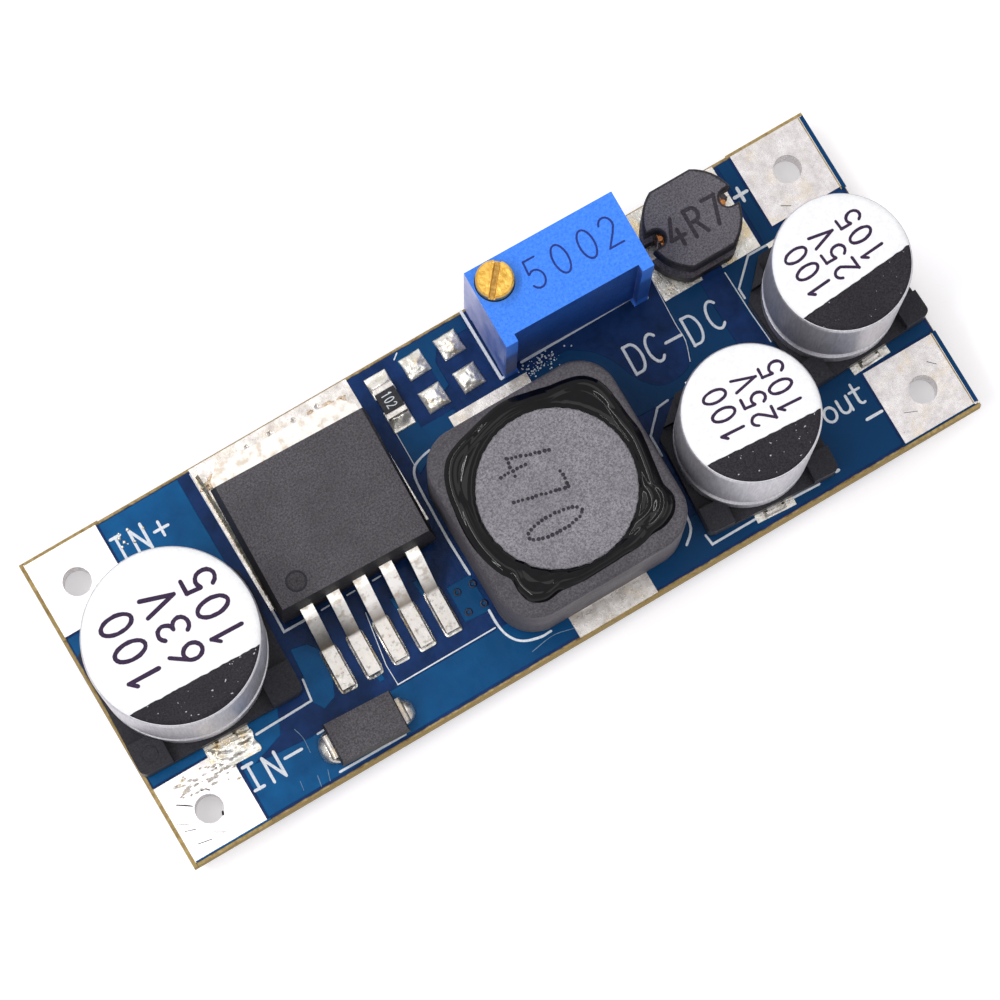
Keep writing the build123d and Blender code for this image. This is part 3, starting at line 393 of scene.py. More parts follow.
# Mesh helpers
class Solids:
    """Points and faces, in millimetres, of the closed solids of one piece."""

    def __init__(self):
        self.points = []
        self.faces = []
        self.strokes = 0

    def grid(self, rows, thick, wrap=False):
        """Closed skin under a grid of top points; thick is how far its bottom lies below."""
        start = len(self.points)
        count, width = len(rows), len(rows[0])
        tops = [p for row in rows for p in row]
        self.points += tops + [(x, y, z - thick) for x, y, z in tops]
        below = len(tops)

        def at(i, j, low=False):
            return start + i * width + j % width + (below if low else 0)

        last = width if wrap else width - 1
        for i in range(count - 1):
            for j in range(last):
                self.faces.append((at(i, j), at(i, j + 1), at(i + 1, j + 1), at(i + 1, j)))
                self.faces.append((at(i, j, 1), at(i + 1, j, 1), at(i + 1, j + 1, 1), at(i, j + 1, 1)))
        for i in (0, count - 1):
            for j in range(last):
                self.faces.append((at(i, j), at(i, j, 1), at(i, j + 1, 1), at(i, j + 1)))
        if not wrap:
            for j in (0, width - 1):
                for i in range(count - 1):
                    self.faces.append((at(i, j), at(i + 1, j), at(i + 1, j, 1), at(i, j, 1)))

    def slab(self, outline, low, high, inset=0.03):
        """Flat plate with sloped sides over a polygon."""
        start = len(self.points)
        count = len(outline)
        area = sum(a[0] * b[1] - b[0] * a[1] for a, b in zip(outline, outline[1:] + outline[:1]))
        if area < 0:
            outline = outline[::-1]
        inner = []
        for k in range(count):
            here, back, ahead = (Vector(outline[i % count]) for i in (k, k - 1, k + 1))
            a = (here - back).normalized()
            b = (ahead - here).normalized()
            turn = Vector((-(a.y + b.y), a.x + b.x))
            if turn.length < 1e-6:
                turn = Vector((-a.y, a.x))
            turn.normalize()
            reach = inset / max(0.35, turn.dot(Vector((-a.y, a.x))))
            inner.append(here + turn * reach)
        self.points += [(x, y, low) for x, y in outline]
        self.points += [(p.x, p.y, high) for p in inner]
        self.faces.append(tuple(start + k for k in range(count))[::-1])
        self.faces.append(tuple(start + count + k for k in range(count)))
        for k in range(count):
            n = (k + 1) % count
            self.faces.append((start + k, start + n, start + count + n, start + count + k))

    def ribbon(self, line, width, low, high, rough=0.0, seed=0.0):
        """Flat stroke along a line, a ring where it ends at its start, else with round ends."""
        line = [Vector(p) for p in line]
        closed = (line[0] - line[-1]).length < 1e-6
        line = line[:-1] if closed else line
        stations = []
        for k, here in enumerate(line):
            ahead = (line[(k + 1) % len(line) if closed else min(k + 1, len(line) - 1)] - here)
            back = here - line[k - 1 if closed else max(k - 1, 0)]
            way = (ahead.normalized() if ahead.length else Vector((0, 0)))
            way += (back.normalized() if back.length else Vector((0, 0)))
            way.normalize()
            bend = way.dot(ahead.normalized()) if ahead.length and back.length else 1.0
            stations.append((here, way, 0.5 * width / max(0.5, bend)))
        first, last = stations[0], stations[-1]
        caps = ((0.5, 0.18), (0.36, 0.36), (0.18, 0.46))
        lead = [(first[0] - first[1] * width * d, first[1], width * h) for d, h in caps]
        tail = [(last[0] + last[1] * width * d, last[1], width * h) for d, h in caps[::-1]]
        start = len(self.points)
        self.strokes += 1
        level = 0.0012 * (self.strokes % 7)
        stations = stations if closed else lead + stations + tail
        for at, way, half in stations:
            side = Vector((-way.y, way.x))
            wobble = 1.0 + rough * noise.noise(Vector((at.x * 4.1, at.y * 4.1, seed)))
            wobble_2 = 1.0 + rough * noise.noise(Vector((at.x * 4.1, at.y * 4.1, seed + 9)))
            left, right = at + side * half * wobble, at - side * half * wobble_2
            crown_l, crown_r = at + side * half * wobble * 0.8, at - side * half * wobble_2 * 0.8
            self.points += [(left.x, left.y, low - level), (crown_l.x, crown_l.y, high + level)]
            self.points += [(crown_r.x, crown_r.y, high + level), (right.x, right.y, low - level)]
        for k in range(len(stations) - (0 if closed else 1)):
            a, b = start + 4 * k, start + 4 * ((k + 1) % len(stations))
            for s in range(4):
                n = (s + 1) % 4
                self.faces.append((a + s, a + n, b + n, b + s))
        if not closed:
            end = start + 4 * (len(stations) - 1)
            self.faces.append((start, start + 3, start + 2, start + 1))
            self.faces.append((end, end + 1, end + 2, end + 3))

    def make(self, name, look, slot, body="board", smooth=False):
        """A new mesh object of the solids, riding on a body."""
        mesh = bpy.data.meshes.new(name)
        mesh.from_pydata([Vector(p) * MM for p in self.points], [], self.faces)
        mesh.validate()
        work = bmesh.new()
        work.from_mesh(mesh)
        bmesh.ops.recalc_face_normals(work, faces=work.faces)
        work.to_mesh(mesh)
        work.free()
        mesh.materials.append(LOOKS[look])
        if smooth:
            mesh.shade_smooth()
        obj = bpy.data.objects.new(name, mesh)
        scene.collection.objects.link(obj)
        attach(obj, body)
        return obj


def turned(middle, degrees, x, y):
    """Place of (x, y) on a piece that stands at middle and is turned by degrees."""
    a = math.radians(degrees)
    return middle[0] + math.cos(a) * x - math.sin(a) * y, middle[1] + math.sin(a) * x + math.cos(a) * y


def sheet(across, along, point):
    """Rows of surface points; point takes two shares from 0 to 1."""
    return [[point(i / across, j / along) for j in range(along + 1)] for i in range(across + 1)]


def arc(cx, cy, rx, ry, start, end, steps=10):
    turns = [math.radians(start + (end - start) * k / steps) for k in range(steps + 1)]
    return [(cx + rx * math.cos(a), cy + ry * math.sin(a)) for a in turns]


def spline(p0, p1, p2, p3, t):
    """Catmull-Rom value between p1 and p2."""
    return 0.5 * (2 * p1 + (p2 - p0) * t + (2 * p0 - 5 * p1 + 4 * p2 - p3) * t * t
                  + (3 * p1 - p0 - 3 * p2 + p3) * t ** 3)


def smooth_line(points, steps=6):
    ends = [Vector(p) for p in (points[0], *points, points[-1])]
    line = [spline(*ends[k:k + 4], s / steps) for k in range(len(points) - 1) for s in range(steps)]
    return [(p.x, p.y) for p in line + [ends[-1]]]


# Strokes of each sign on a cell one wide and one high
GLYPHS = {
    "0": [arc(0.5, 0.5, 0.42, 0.5, 90, 450, 22)],
    "1": [[(0.28, 0.8), (0.55, 1.0)], [(0.55, 1.0), (0.55, 0.0)]],
    "2": [arc(0.48, 0.72, 0.38, 0.28, 160, -20, 9) + [(0.62, 0.42), (0.08, 0.0)],
          [(0.08, 0.0), (0.92, 0.0)]],
    "3": [arc(0.45, 0.75, 0.36, 0.25, 150, -90, 10), arc(0.45, 0.25, 0.40, 0.25, 90, -150, 10)],
    "4": [[(0.62, 1.0), (0.05, 0.3)], [(0.05, 0.3), (0.95, 0.3)], [(0.68, 0.55), (0.68, 0.0)]],
    "5": [[(0.85, 1.0), (0.2, 1.0)], [(0.2, 1.0), (0.14, 0.56)],
          arc(0.45, 0.31, 0.42, 0.31, 130, -150, 12)],
    "6": [[(0.72, 1.0), (0.2, 0.5)] + arc(0.5, 0.3, 0.4, 0.3, 150, 300, 8),
          arc(0.5, 0.3, 0.4, 0.3, 300, 480, 9)],
    "7": [[(0.08, 1.0), (0.9, 1.0)], [(0.9, 1.0), (0.35, 0.0)]],
    "V": [[(0.05, 1.0), (0.5, 0.0)], [(0.5, 0.0), (0.95, 1.0)]],
    "R": [[(0.12, 0.0), (0.12, 1.0)], [(0.12, 1.0), (0.5, 1.0)] + arc(0.55, 0.76, 0.34, 0.24, 80, -90,
                                                                      9) + [(0.12, 0.52)],
          [(0.5, 0.52), (0.92, 0.0)]],
    "I": [[(0.2, 1.0), (0.8, 1.0)], [(0.5, 1.0), (0.5, 0.0)], [(0.2, 0.0), (0.8, 0.0)]],
    "N": [[(0.1, 0.0), (0.1, 1.0)], [(0.1, 1.0), (0.9, 0.0)], [(0.9, 0.0), (0.9, 1.0)]],
    "D": [[(0.1, 0.0), (0.1, 1.0)], [(0.1, 1.0), (0.45, 1.0)] + arc(0.45, 0.5, 0.43, 0.5, 85, -85,
                                                                    12) + [(0.1, 0.0)]],
    "C": [arc(0.52, 0.5, 0.42, 0.5, 50, 310, 16)],
    "+": [[(0.1, 0.5), (0.9, 0.5)], [(0.5, 0.1), (0.5, 0.9)]],
    "-": [[(0.0, 0.5), (1.0, 0.5)]],
    "o": [arc(0.5, 0.33, 0.42, 0.33, 90, 450, 18)],
    "u": [[(0.12, 0.66), (0.12, 0.25)] + arc(0.48, 0.25, 0.36, 0.25, 190, 350, 8) + [(0.86, 0.66)],
          [(0.86, 0.66), (0.86, 0.0)]],
    "t": [[(0.45, 0.95), (0.45, 0.2)] + arc(0.68, 0.2, 0.23, 0.2, 190, 290, 5),
          [(0.12, 0.66), (0.85, 0.66)]],
}


def sign(solids, letter, middle, size, turn, width, low, high, rough=0.0):
    """One sign about its middle; turn is the reading direction in degrees."""
    for number, stroke in enumerate(GLYPHS[letter]):
        line = [turned(middle, turn, (x - 0.5) * size[0], (y - 0.5) * size[1]) for x, y in stroke]
        solids.ribbon(line, width, low, high, rough, number * 3.7)


def write(solids, letters, spots, size, turn, width, low, high, rough=0.2):
    for letter, spot in zip(letters, spots):
        sign(solids, letter, spot, size, turn, width, low, high, rough)


# Camera, floor and light
CAMERA_PLACE = (-0.02214, -0.03382, 0.26314)
CAMERA_RIGHT = (0.8604386, -0.5095045, 0.0071143)
CAMERA_DOWN = (-0.5020280, -0.8500380, -0.1593842)
CAMERA_AHEAD = (0.0872544, 0.1335687, -0.9871910)
camera_data = bpy.data.cameras.new("camera")
camera_data.sensor_width = 36.0
camera_data.lens = 165.19
camera_data.shift_x = -0.0025
camera_data.shift_y = -0.0463
camera_data.clip_start = 0.01
camera_data.clip_end = 10.0
camera = bpy.data.objects.new("camera", camera_data)
scene.collection.objects.link(camera)
right, down, ahead = Vector(CAMERA_RIGHT), Vector(CAMERA_DOWN), Vector(CAMERA_AHEAD)
aim = Matrix((right, -down, -ahead)).transposed().to_4x4()
camera.matrix_world = Matrix.Translation(CAMERA_PLACE) @ aim
scene.camera = camera

FLOOR_Z = -0.00092
floor_mesh = bpy.data.meshes.new("floor")
FLOOR_SIDE = 1.2
floor_mesh.from_pydata(
    [(x * FLOOR_SIDE, y * FLOOR_SIDE, FLOOR_Z) for x, y in ((-1, -1), (1, -1), (1, 1), (-1, 1))],
    [], [(0, 1, 2, 3)])
floor = bpy.data.objects.new("floor", floor_mesh)
scene.collection.objects.link(floor)


def seen_rays(tree):
    """1 for rays from the camera, or seen in gloss or through glass; 0 for the rest."""
    path = tree.nodes.new("ShaderNodeLightPath")
    total = path.outputs["Is Camera Ray"]
    for name in ("Is Glossy Ray", "Is Transmission Ray"):
        node = tree.nodes.new("ShaderNodeMath")
        node.operation = "MAXIMUM"
        tree.links.new(total, node.inputs[0])
        tree.links.new(path.outputs[name], node.inputs[1])
        total = node.outputs[0]
    return total


def floor_look():
    mat = bpy.data.materials.new("floor")
    mat.use_nodes = True
    tree = mat.node_tree
    shader = tree.nodes["Principled BSDF"]
    shader.inputs["Base Color"].default_value = (0.86, 0.85, 0.88, 1)
    shader.inputs["Roughness"].default_value = 1.0
    shader.inputs["Specular IOR Level"].default_value = 0.0
    shader.inputs["Emission Color"].default_value = (1, 1, 1, 1)
    lift = tree.nodes.new("ShaderNodeMath")
    lift.operation = "MULTIPLY"
    tree.links.new(seen_rays(tree), lift.inputs[0])
    lift.inputs[1].default_value = 0.29
    tree.links.new(lift.outputs[0], shader.inputs["Emission Strength"])
    return mat


floor_mesh.materials.append(floor_look())

world = bpy.data.worlds.new("studio")
scene.world = world
world.use_nodes = True
sky = world.node_tree
level = sky.nodes.new("ShaderNodeMapRange")
sky.links.new(seen_rays(sky), level.inputs["Value"])
level.inputs["To Min"].default_value = 0.55
level.inputs["To Max"].default_value = 1.0
sky.nodes["Background"].inputs["Color"].default_value = (1, 1, 1, 1)
sky.links.new(level.outputs[0], sky.nodes["Background"].inputs["Strength"])


def lamp(name, place, size, power):
    data = bpy.data.lights.new(name, "AREA")
    data.shape = "RECTANGLE"
    data.size, data.size_y = size
    data.energy = power
    obj = bpy.data.objects.new(name, data)
    scene.collection.objects.link(obj)
    obj.location = place
    obj.rotation_euler = (-Vector(place)).to_track_quat("-Z", "Y").to_euler()


lamp("overhead_left", (-0.15, 0.065, 0.49), (0.26, 0.36), 0.50)
lamp("left_strip", (-0.18, 0.105, 0.34), (0.56, 0.014), 0.80)
lamp("right_panel", (0.17, -0.13, 0.34), (0.40, 0.20), 0.34)

scene.view_settings.view_transform = "Standard"


# Board surface
POUR_LOW, POUR_HIGH = TOP - 0.02, TOP + 0.035
INK_LOW, INK_HIGH = TOP - 0.01, TOP + 0.055
POURS = [
    [(-21.2, 9.83), (-15.93, 9.83), (-15.94, 4.5), (-15.95, -0.8), (-18.2, -6.0), (-20.9, -6.9),
     (-21.2, -4.9),
     (-26.0, -4.9), (-26.0, 5.0), (-21.2, 5.0)],
    [(-21.2, -9.72), (21.2, -9.72), (21.2, -4.9), (26.0, -4.9), (26.0, 5.0), (21.2, 5.0), (21.2, 9.83),
     (20.35, 9.83),
     (20.35, 4.6), (17.46, 4.5), (17.42, 1.4), (17.7, -0.8), (17.5, -3.6), (10.2, -4.4), (8.75, -7.1),
     (-11.0, -7.0),
     (-14.2, -7.05), (-16.9, -6.95), (-21.1, -6.6)],
    [(-15.35, -2.0), (-14.3, -2.2), (-13.6, -3.2), (-13.95, -4.6), (-14.45, -5.7), (-15.3, -6.0),
     (-15.75, -5.3), (-15.45, -3.6)],
    [(-3.70, 5.9), (-2.25, 5.9), (-2.25, 5.3), (-0.1, 5.3), (0.2, 3.4), (-3.0, 3.3), (-3.76, 2.9)],
    [(-5.80, -3.5), (-4.2, -3.5), (-4.2, -5.95), (-5.87, -5.8)],
    smooth_line([(13.74, 6.6), (13.6, 4.5), (13.5, 2.9), (13.5, 1.9), (13.1, 0.7), (12.0, 0.25),
                 (10.8, 0.45),
                 (9.9, 1.5), (9.3, 3.0), (8.5, 4.1), (7.3, 4.95)], 4)
    + [(4.6, 4.95), (5.0, 3.2), (7.9, 1.8), (8.6, -0.6), (16.0, -0.8), (16.0, 6.6)],
    [(-1.6, 9.83), (3.0, 9.83), (3.0, 8.9), (0.9, 8.9), (0.4, 8.1), (0.4, 6.6), (-0.1, 6.4), (-0.1, 8.6),
     (-1.6, 8.9)],
    [(-12.1, -2.2), (-11.75, -2.2), (-11.45, -6.3), (-11.85, -6.3)],
    [(-9.0, -2.4), (-8.6, -2.4), (-8.1, -5.9), (-8.5, -5.9)],
    [(-7.35, -2.2), (-6.95, -2.2), (-6.45, -5.7), (-6.85, -5.7)],
]
pours = Solids()
for outline in POURS:
    pours.slab([tuple(p) for p in outline], POUR_LOW, POUR_HIGH, 0.05)
pours.make("upper_copper_pours", "pour", "solder_mask")

UNDER_POURS = [
    [(-21.0, -9.83), (-1.0, -9.83), (1.5, -7.0), (1.5, 2.0), (-3.0, 4.2), (-26.0, 4.2), (-26.0, -4.9),
     (-21.0, -4.9)],
    [(2.4, -9.83), (20.9, -9.83), (20.9, -4.9), (26.0, -4.9), (26.0, 4.7), (20.9, 4.7), (20.9, 9.83),
     (12.0, 9.83),
     (9.4, 6.2), (2.4, 5.2)],
    [(-21.0, 5.0), (-2.8, 5.0), (1.4, 5.9), (4.4, 9.83), (-21.0, 9.83)],
]
under = Solids()
for outline in UNDER_POURS:
    under.slab([(x, -y) for x, y in outline], 0.0, 0.035, 0.05)
under.points = [(x, -y, 0.02 - z) for x, y, z in under.points]
under.make("lower_copper_pours", "pour", "solder_mask")

SILK_LINES = [
    (0.16, [(-15.04, 0.48), (-15.09, -0.97), (-13.7, -0.99)]),
    (0.10, [(-12.6, -0.98), (-12.1, -0.97)]), (0.10, [(-10.9, -0.98), (-10.4, -0.98)]),
    (0.10, [(-9.2, -1.0), (-8.7, -1.0)]),
    (0.16, [(-15.55, -3.92), (-15.73, -5.19), (-19.4, -5.27)]),
    (0.16, [(10.79, -0.6), (10.06, -0.68), (8.88, -1.9)]),
    (0.16, [(8.88, -1.9), (8.85, -3.2)]),
    (0.16, [(8.62, -8.5), (8.69, -9.13), (11.8, -9.13)]), (0.16, [(14.06, -9.18), (15.8, -9.25)]),
    (0.22, [(17.05, -9.13), (17.17, -9.13)]),
    (0.16, [(20.45, 4.33), (19.22, 4.35), (17.74, 2.93), (17.75, 2.3)]),
    (0.07, [(17.54, 4.15), (17.6, 1.4), (17.73, -0.69)]),
    (0.17, smooth_line([(-2.59, 3.88), (-3.35, 3.7), (-3.85, 3.4), (-4.1, 2.8), (-4.2, 1.4), (-4.27, -1.18),
                        (-4.23, -3.5)], 4)),
    (0.17, smooth_line([(-4.33, -5.9), (-4.33, -6.91), (-4.1, -7.8), (-3.53, -8.41), (-2.59, -8.71),
                        (-1.9, -8.72)], 4)),
    (0.17, smooth_line([(7.4, -8.4), (8.1, -7.7), (8.3, -6.6)], 4)),
    (0.09, [(-11.0, -6.92), (-4.55, -6.93)]), (0.05, [(-11.0, -6.92), (-11.02, -5.6), (-10.5, -2.4)]),
    (0.20, [(3.15, 9.95), (3.16, 5.4)]), (0.17, [(3.16, 5.4), (3.5, 5.36)]),
    (0.17, [(4.67, 5.63), (11.99, 5.65), (12.27, 5.2), (12.88, 5.19)]),
    (0.16, [(-16.37, -9.55), (-12.09, -9.6)]), (0.13, [(-16.38, -7.03), (-15.93, -7.01)]),
    (0.05, [(-15.17, 9.7), (-15.12, 1.0)]), (0.05, [(-3.70, 5.9), (-3.74, 3.5)]),
    (0.05, smooth_line([(13.7, 6.3), (13.58, 4.5), (13.5, 2.9), (13.5, 1.9), (13.1, 0.7)], 4)),
    (0.09, [(-1.62, 9.5), (-1.3, 9.75)]),
]
silk = Solids()
for number, (width, line) in enumerate(SILK_LINES):
    silk.ribbon(line, width, INK_LOW, INK_HIGH, 0.25, number * 1.3)
silk.make("legend_outlines", "silk", "solder_mask")

words = Solids()
SIGNS = [
    ("I", (-20.73, 7.94)), ("N", (-19.5, 7.89)), ("+", (-18.16, 7.8)),
    ("I", (-20.78, -7.28)), ("N", (-19.49, -7.39)), ("-", (-18.16, -7.3)),
]
for letter, middle in SIGNS:
    size = (0.95, 1.5) if letter in "IN" else (1.05, 1.05)
    sign(words, letter, middle, size, -1.0, 0.21, INK_LOW, INK_HIGH, 0.2)
for letter, middle in zip("DC-DC", ((10.5, 2.47), (11.72, 2.44), (12.94, 2.32), (14.27, 2.2),
                                    (15.72, 2.32))):
    size = (1.0, 0.9) if letter == "-" else (1.05, 1.75)
    sign(words, letter, middle, size, -2.0, 0.19, INK_LOW, INK_HIGH, 0.2)
write(words, "out", ((18.46, -5.9), (19.46, -5.85), (20.37, -5.82)), (0.85, 1.35), 0.0, 0.19, INK_LOW,
      INK_HIGH)
write(words, "-", [(20.64, -7.44)], (0.95, 1.0), 0.0, 0.22, INK_LOW, INK_HIGH)
write(words, "+", [(20.72, 7.67)], (1.0, 1.0), 0.0, 0.24, INK_LOW, INK_HIGH)
words.make("legend_words", "silk", "solder_mask")


def ring_rows(middle, radii, height_at, count=32):
    """Rings of points about a middle, from the inside out."""
    turns = [2 * math.pi * k / count for k in range(count)]
    return [[(middle[0] + r * math.cos(a), middle[1] + r * math.sin(a),
              height_at(r, a)) for a in turns] for r in radii]


def ring_piece(name, look, slot, middles, radii, height_at, count, thick=0.03):
    solids = Solids()
    for middle in middles:
        solids.grid(ring_rows(middle, radii, height_at, count), thick, True)
    solids.make(name, look, slot, smooth=True)


ring_piece("tented_vias", "hole", "solder_mask", ((-4.37, -4.08), (-5.37, -4.06), (-4.38, -5.39),
                                                  (-5.39, -5.38)),
           (0.08, 0.15, 0.22, 0.27), lambda r, a: TOP + 0.075 - 6 * (r - 0.17) ** 2, 20, 0.1)

# Capacitors
CANS = {
    "input_capacitor": {
        "middle": (-20.85, 0.73), "radius": 5.05, "height": 10.25, "turn": -1.8, "cut": -2.78,
        "offset": 0.32,
        "lines": ((-2.35, "100"), (0.30, "63V"), (2.81, "105")), "cell": (1.15, 1.85), "pitch": 1.65,
        "stroke": 0.27},
    "output_capacitor_1": {
        "middle": (21.92, -0.16), "radius": 4.0, "height": 10.5, "turn": 4.6, "cut": -1.36, "offset": 0.66,
        "lines": ((-1.93, "100"), (-0.10, "25V"), (1.72, "105")), "cell": (0.80, 1.35), "pitch": 1.12,
        "stroke": 0.19},
    "output_capacitor_2": {
        "middle": (13.13, -4.88), "radius": 4.0, "height": 10.5, "turn": -3.8, "cut": -1.55, "offset": 0.58,
        "lines": ((-1.43, "100"), (0.45, "25V"), (2.12, "105")), "cell": (0.80, 1.35), "pitch": 1.12,
        "stroke": 0.19},
}
EDGE = 0.45


def can_print(name, can):
    """White film, black polarity mark and rating on a can's lid."""
    middle, radius, cut = can["middle"], can["radius"], can["cut"]
    top = TOP + can["height"]

    def lid(r, lift):
        past = max(0.0, r - (radius - EDGE))
        return top + lift - (EDGE - math.sqrt(max(0.0, EDGE ** 2 - past ** 2)))

    white = Solids()
    reach = radius - 0.09
    radii = [0.001, 0.012] + [reach * math.sin(math.pi / 2 * k / 14) for k in range(1, 15)]
    white.grid(ring_rows(middle, radii, lambda r, a: lid(r, 0.012), 96), 0.03, True)
    white.make(name + "_white_film", "print_white", "can_aluminium", smooth=True)
    black = Solids()
    edge_radius = radius - 0.12
    half = math.sqrt(edge_radius ** 2 - cut ** 2)

    def mark(s, t):
        x = half * math.sin(math.pi / 2 * (-1 + 2 * s)) * 0.9995
        low = -math.sqrt(edge_radius ** 2 - x * x)
        rag = 0.05 * noise.noise(Vector((x * 3.1, cut, radius)))
        y = low + max(0.002, cut + rag - low) * t ** 1.6
        return (*turned(middle, can["turn"], x, y), lid(math.hypot(x, y), 0.035))

    black.grid(sheet(64, 20, mark), 0.05)
    black.make(name + "_polarity_mark", "print_black", "can_aluminium")
    text = Solids()
    for step, letters in can["lines"]:
        for k, letter in enumerate(letters):
            spot = turned(middle, can["turn"], step, (k - 1) * can["pitch"] + can["offset"])
            sign(text, letter, spot, can["cell"], 90 + can["turn"], can["stroke"], top + 0.004, top + 0.026,
                 0.25)
    text.make(name + "_rating", "print_text", "can_aluminium")


for name, can in CANS.items():
    can_print(name, can)

# Power inductor
COIL = (2.0, -2.62)
FERRITE_TOP = TOP + 7.0
# Outer edge of the poured glue: bearing in degrees and distance in millimetres
GLUE_EDGE = [
    (-172, 5.80), (-163, 5.80), (-153, 5.80), (-147, 5.78), (-141, 6.25), (-134, 6.62), (-126, 6.45),
    (-119, 5.87),
    (-110, 5.57), (-94, 5.28), (-77, 5.35), (-64, 5.75), (-57, 5.95), (-50, 6.45), (-42, 6.72), (-34, 6.55),
    (-28, 5.97), (-15, 5.66), (-4, 5.65), (5, 5.74), (16, 5.80), (26, 6.10), (34, 6.45), (41, 6.62),
    (48, 6.55),
    (56, 6.20), (64, 5.85), (76, 5.72), (89, 5.80), (104, 5.80), (116, 5.92), (126, 6.20), (134, 6.42),
    (142, 6.40),
    (151, 6.20), (161, 5.95), (175, 5.82),
]


def glue_reach(bearing):
    """Distance of the glue's edge at a bearing."""
    for k, (a0, r0) in enumerate(GLUE_EDGE):
        a1, r1 = GLUE_EDGE[(k + 1) % len(GLUE_EDGE)]
        if (bearing - a0) % 360 <= (a1 - a0) % 360:
            after = GLUE_EDGE[(k + 2) % len(GLUE_EDGE)][1]
            return spline(GLUE_EDGE[k - 1][1], r0, r1, after, (bearing - a0) % 360 / ((a1 - a0) % 360))
    return GLUE_EDGE[0][1]


def glue_height(r, bearing, inner, reach):
    """Height over the ferrite: bead by the disc, trough, rolled outer lip and two blobs."""
    a = math.radians(bearing)
    corner = max(0.0, 1 - abs(abs(math.sin(2 * a)) - 1) * 2.2)
    blob = math.exp(-((bearing + 42) / 12) ** 2) + 0.9 * math.exp(-((bearing + 128) / 12) ** 2)
    ridge = 0.085 * max(0.0, 1 - ((r - 5.08) / 0.42) ** 2)
    lip = 0.15 * max(0.0, 1 - ((r - reach + 0.44) / 0.42) ** 2)
    lip += 0.36 * blob * max(0.0, 1 - ((r - reach + 0.80) / 0.78) ** 2)
    middle = 0.5 * (inner + reach)
    trough = 0.03 * corner * math.exp(-((r - middle) / (0.3 * (reach - inner))) ** 2)
    rise = min(1.0, (r - inner) / 0.22)
    fall = min(1.0, (reach - r) / 0.34)
    ends = math.sin(math.pi / 2 * rise) * math.sqrt(max(0.0, 1 - (1 - fall) ** 2))
    return (0.10 + ridge + lip - trough) * ends


glue = Solids()
rows = []
STEPS = 240
for i in range(49):
    u = 0.5 - 0.5 * math.cos(math.pi * i / 48)
    row = []
    for k in range(STEPS):
        bearing = -180 + 360 * k / STEPS
        a = math.radians(bearing)
        inner = 4.60 + 0.08 * noise.noise(Vector((math.cos(a) * 13, math.sin(a) * 13, 4.0)))
        reach = glue_reach(bearing) + 0.03 * noise.noise(Vector((math.cos(a) * 3, math.sin(a) * 3, 2.0)))
        r = inner + (reach - inner) * u
        height = glue_height(r, bearing, inner, reach)
        height *= 1 + 0.15 * noise.noise(Vector((math.cos(a) * 1.2, math.sin(a) * 1.2, 1.5)))
        row.append((COIL[0] + r * math.cos(a), COIL[1] + r * math.sin(a), FERRITE_TOP - 0.01 + height))
    rows.append(row)
glue.grid(rows, 0.5, True)
glue_piece = glue.make("poured_glue", "glue", "black_glue", smooth=True)
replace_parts(glue_piece, "power_inductor_glue")

CODE_MIDDLE, CODE_TURN, CODE_PITCH, CODE_CELL = (0.95, -2.31), -92, 1.98, (1.25, 3.4)
DOT_STEP = 0.27
dots = Solids()
random.seed(5)
dot_count = 0


def dot(at, radius, level):
    dots.grid(ring_rows(at, (0.004, radius * 0.8, radius),
                        lambda r, a: FERRITE_TOP + level + (0.008 if r < radius * 0.9 else 0.001), 8), 0.03,
                        True)


for number, letter in enumerate("470"):
    for stroke in GLYPHS[letter]:
        line = [Vector(turned(CODE_MIDDLE, CODE_TURN, (number - 1) * CODE_PITCH + (x - 0.5) * CODE_CELL[0],
                              (y - 0.5) * CODE_CELL[1])) for x, y in stroke]
        carry = 0.0
        for a, b in zip(line, line[1:]):
            length = (b - a).length
            while carry <= length:
                at = a + (b - a) * (carry / length)
                dot((at.x + random.uniform(-0.03, 0.03), at.y + random.uniform(-0.03, 0.03)),
                    random.uniform(0.10, 0.13), 0.0013 * (dot_count % 7))
                dot_count += 1
                carry += DOT_STEP
            carry -= length
dots.make("power_inductor_code", "bobbin_ink", "ferrite")

# Filter inductor, trimmer, chips
REGULATOR_TOP = FILTER_TOP = TOP + 4.5
TRIMMER_TOP = TOP + 10.05
RESISTOR_TOP = TOP + 0.55
LUG_TOP = TOP + 2.0
EJECTOR_MARK = (-13.16, 0.61)
BASE_MARK = (-25.22, -3.38)
code = Solids()
write(code, "4R7", [(x, 6.95) for x in (15.61, 16.95, 18.24)], (0.95, 1.65), -1.0, 0.26,
      FILTER_TOP - 0.01, FILTER_TOP + 0.015)
code.make("filter_inductor_code", "bobbin_ink", "ferrite")

code = Solids()
write(code, "5002", [(x, 8.04 - 0.012 * (x - 9)) for x in (6.88, 8.52, 10.2, 11.66)], (1.05, 1.75), -1.0,
      0.13,
      TRIMMER_TOP - 0.01, TRIMMER_TOP + 0.015, 0.15)
code.make("trimmer_code", "blue_ink", "trimmer_blue")

code = Solids()
write(code, "102", [(-3.09, y) for y in (7.87, 7.53, 7.19)], (0.23, 0.60), -90, 0.065,
      RESISTOR_TOP - 0.005, RESISTOR_TOP + 0.018, 0.0)
code.make("resistor_code", "silk", "resistor_black")

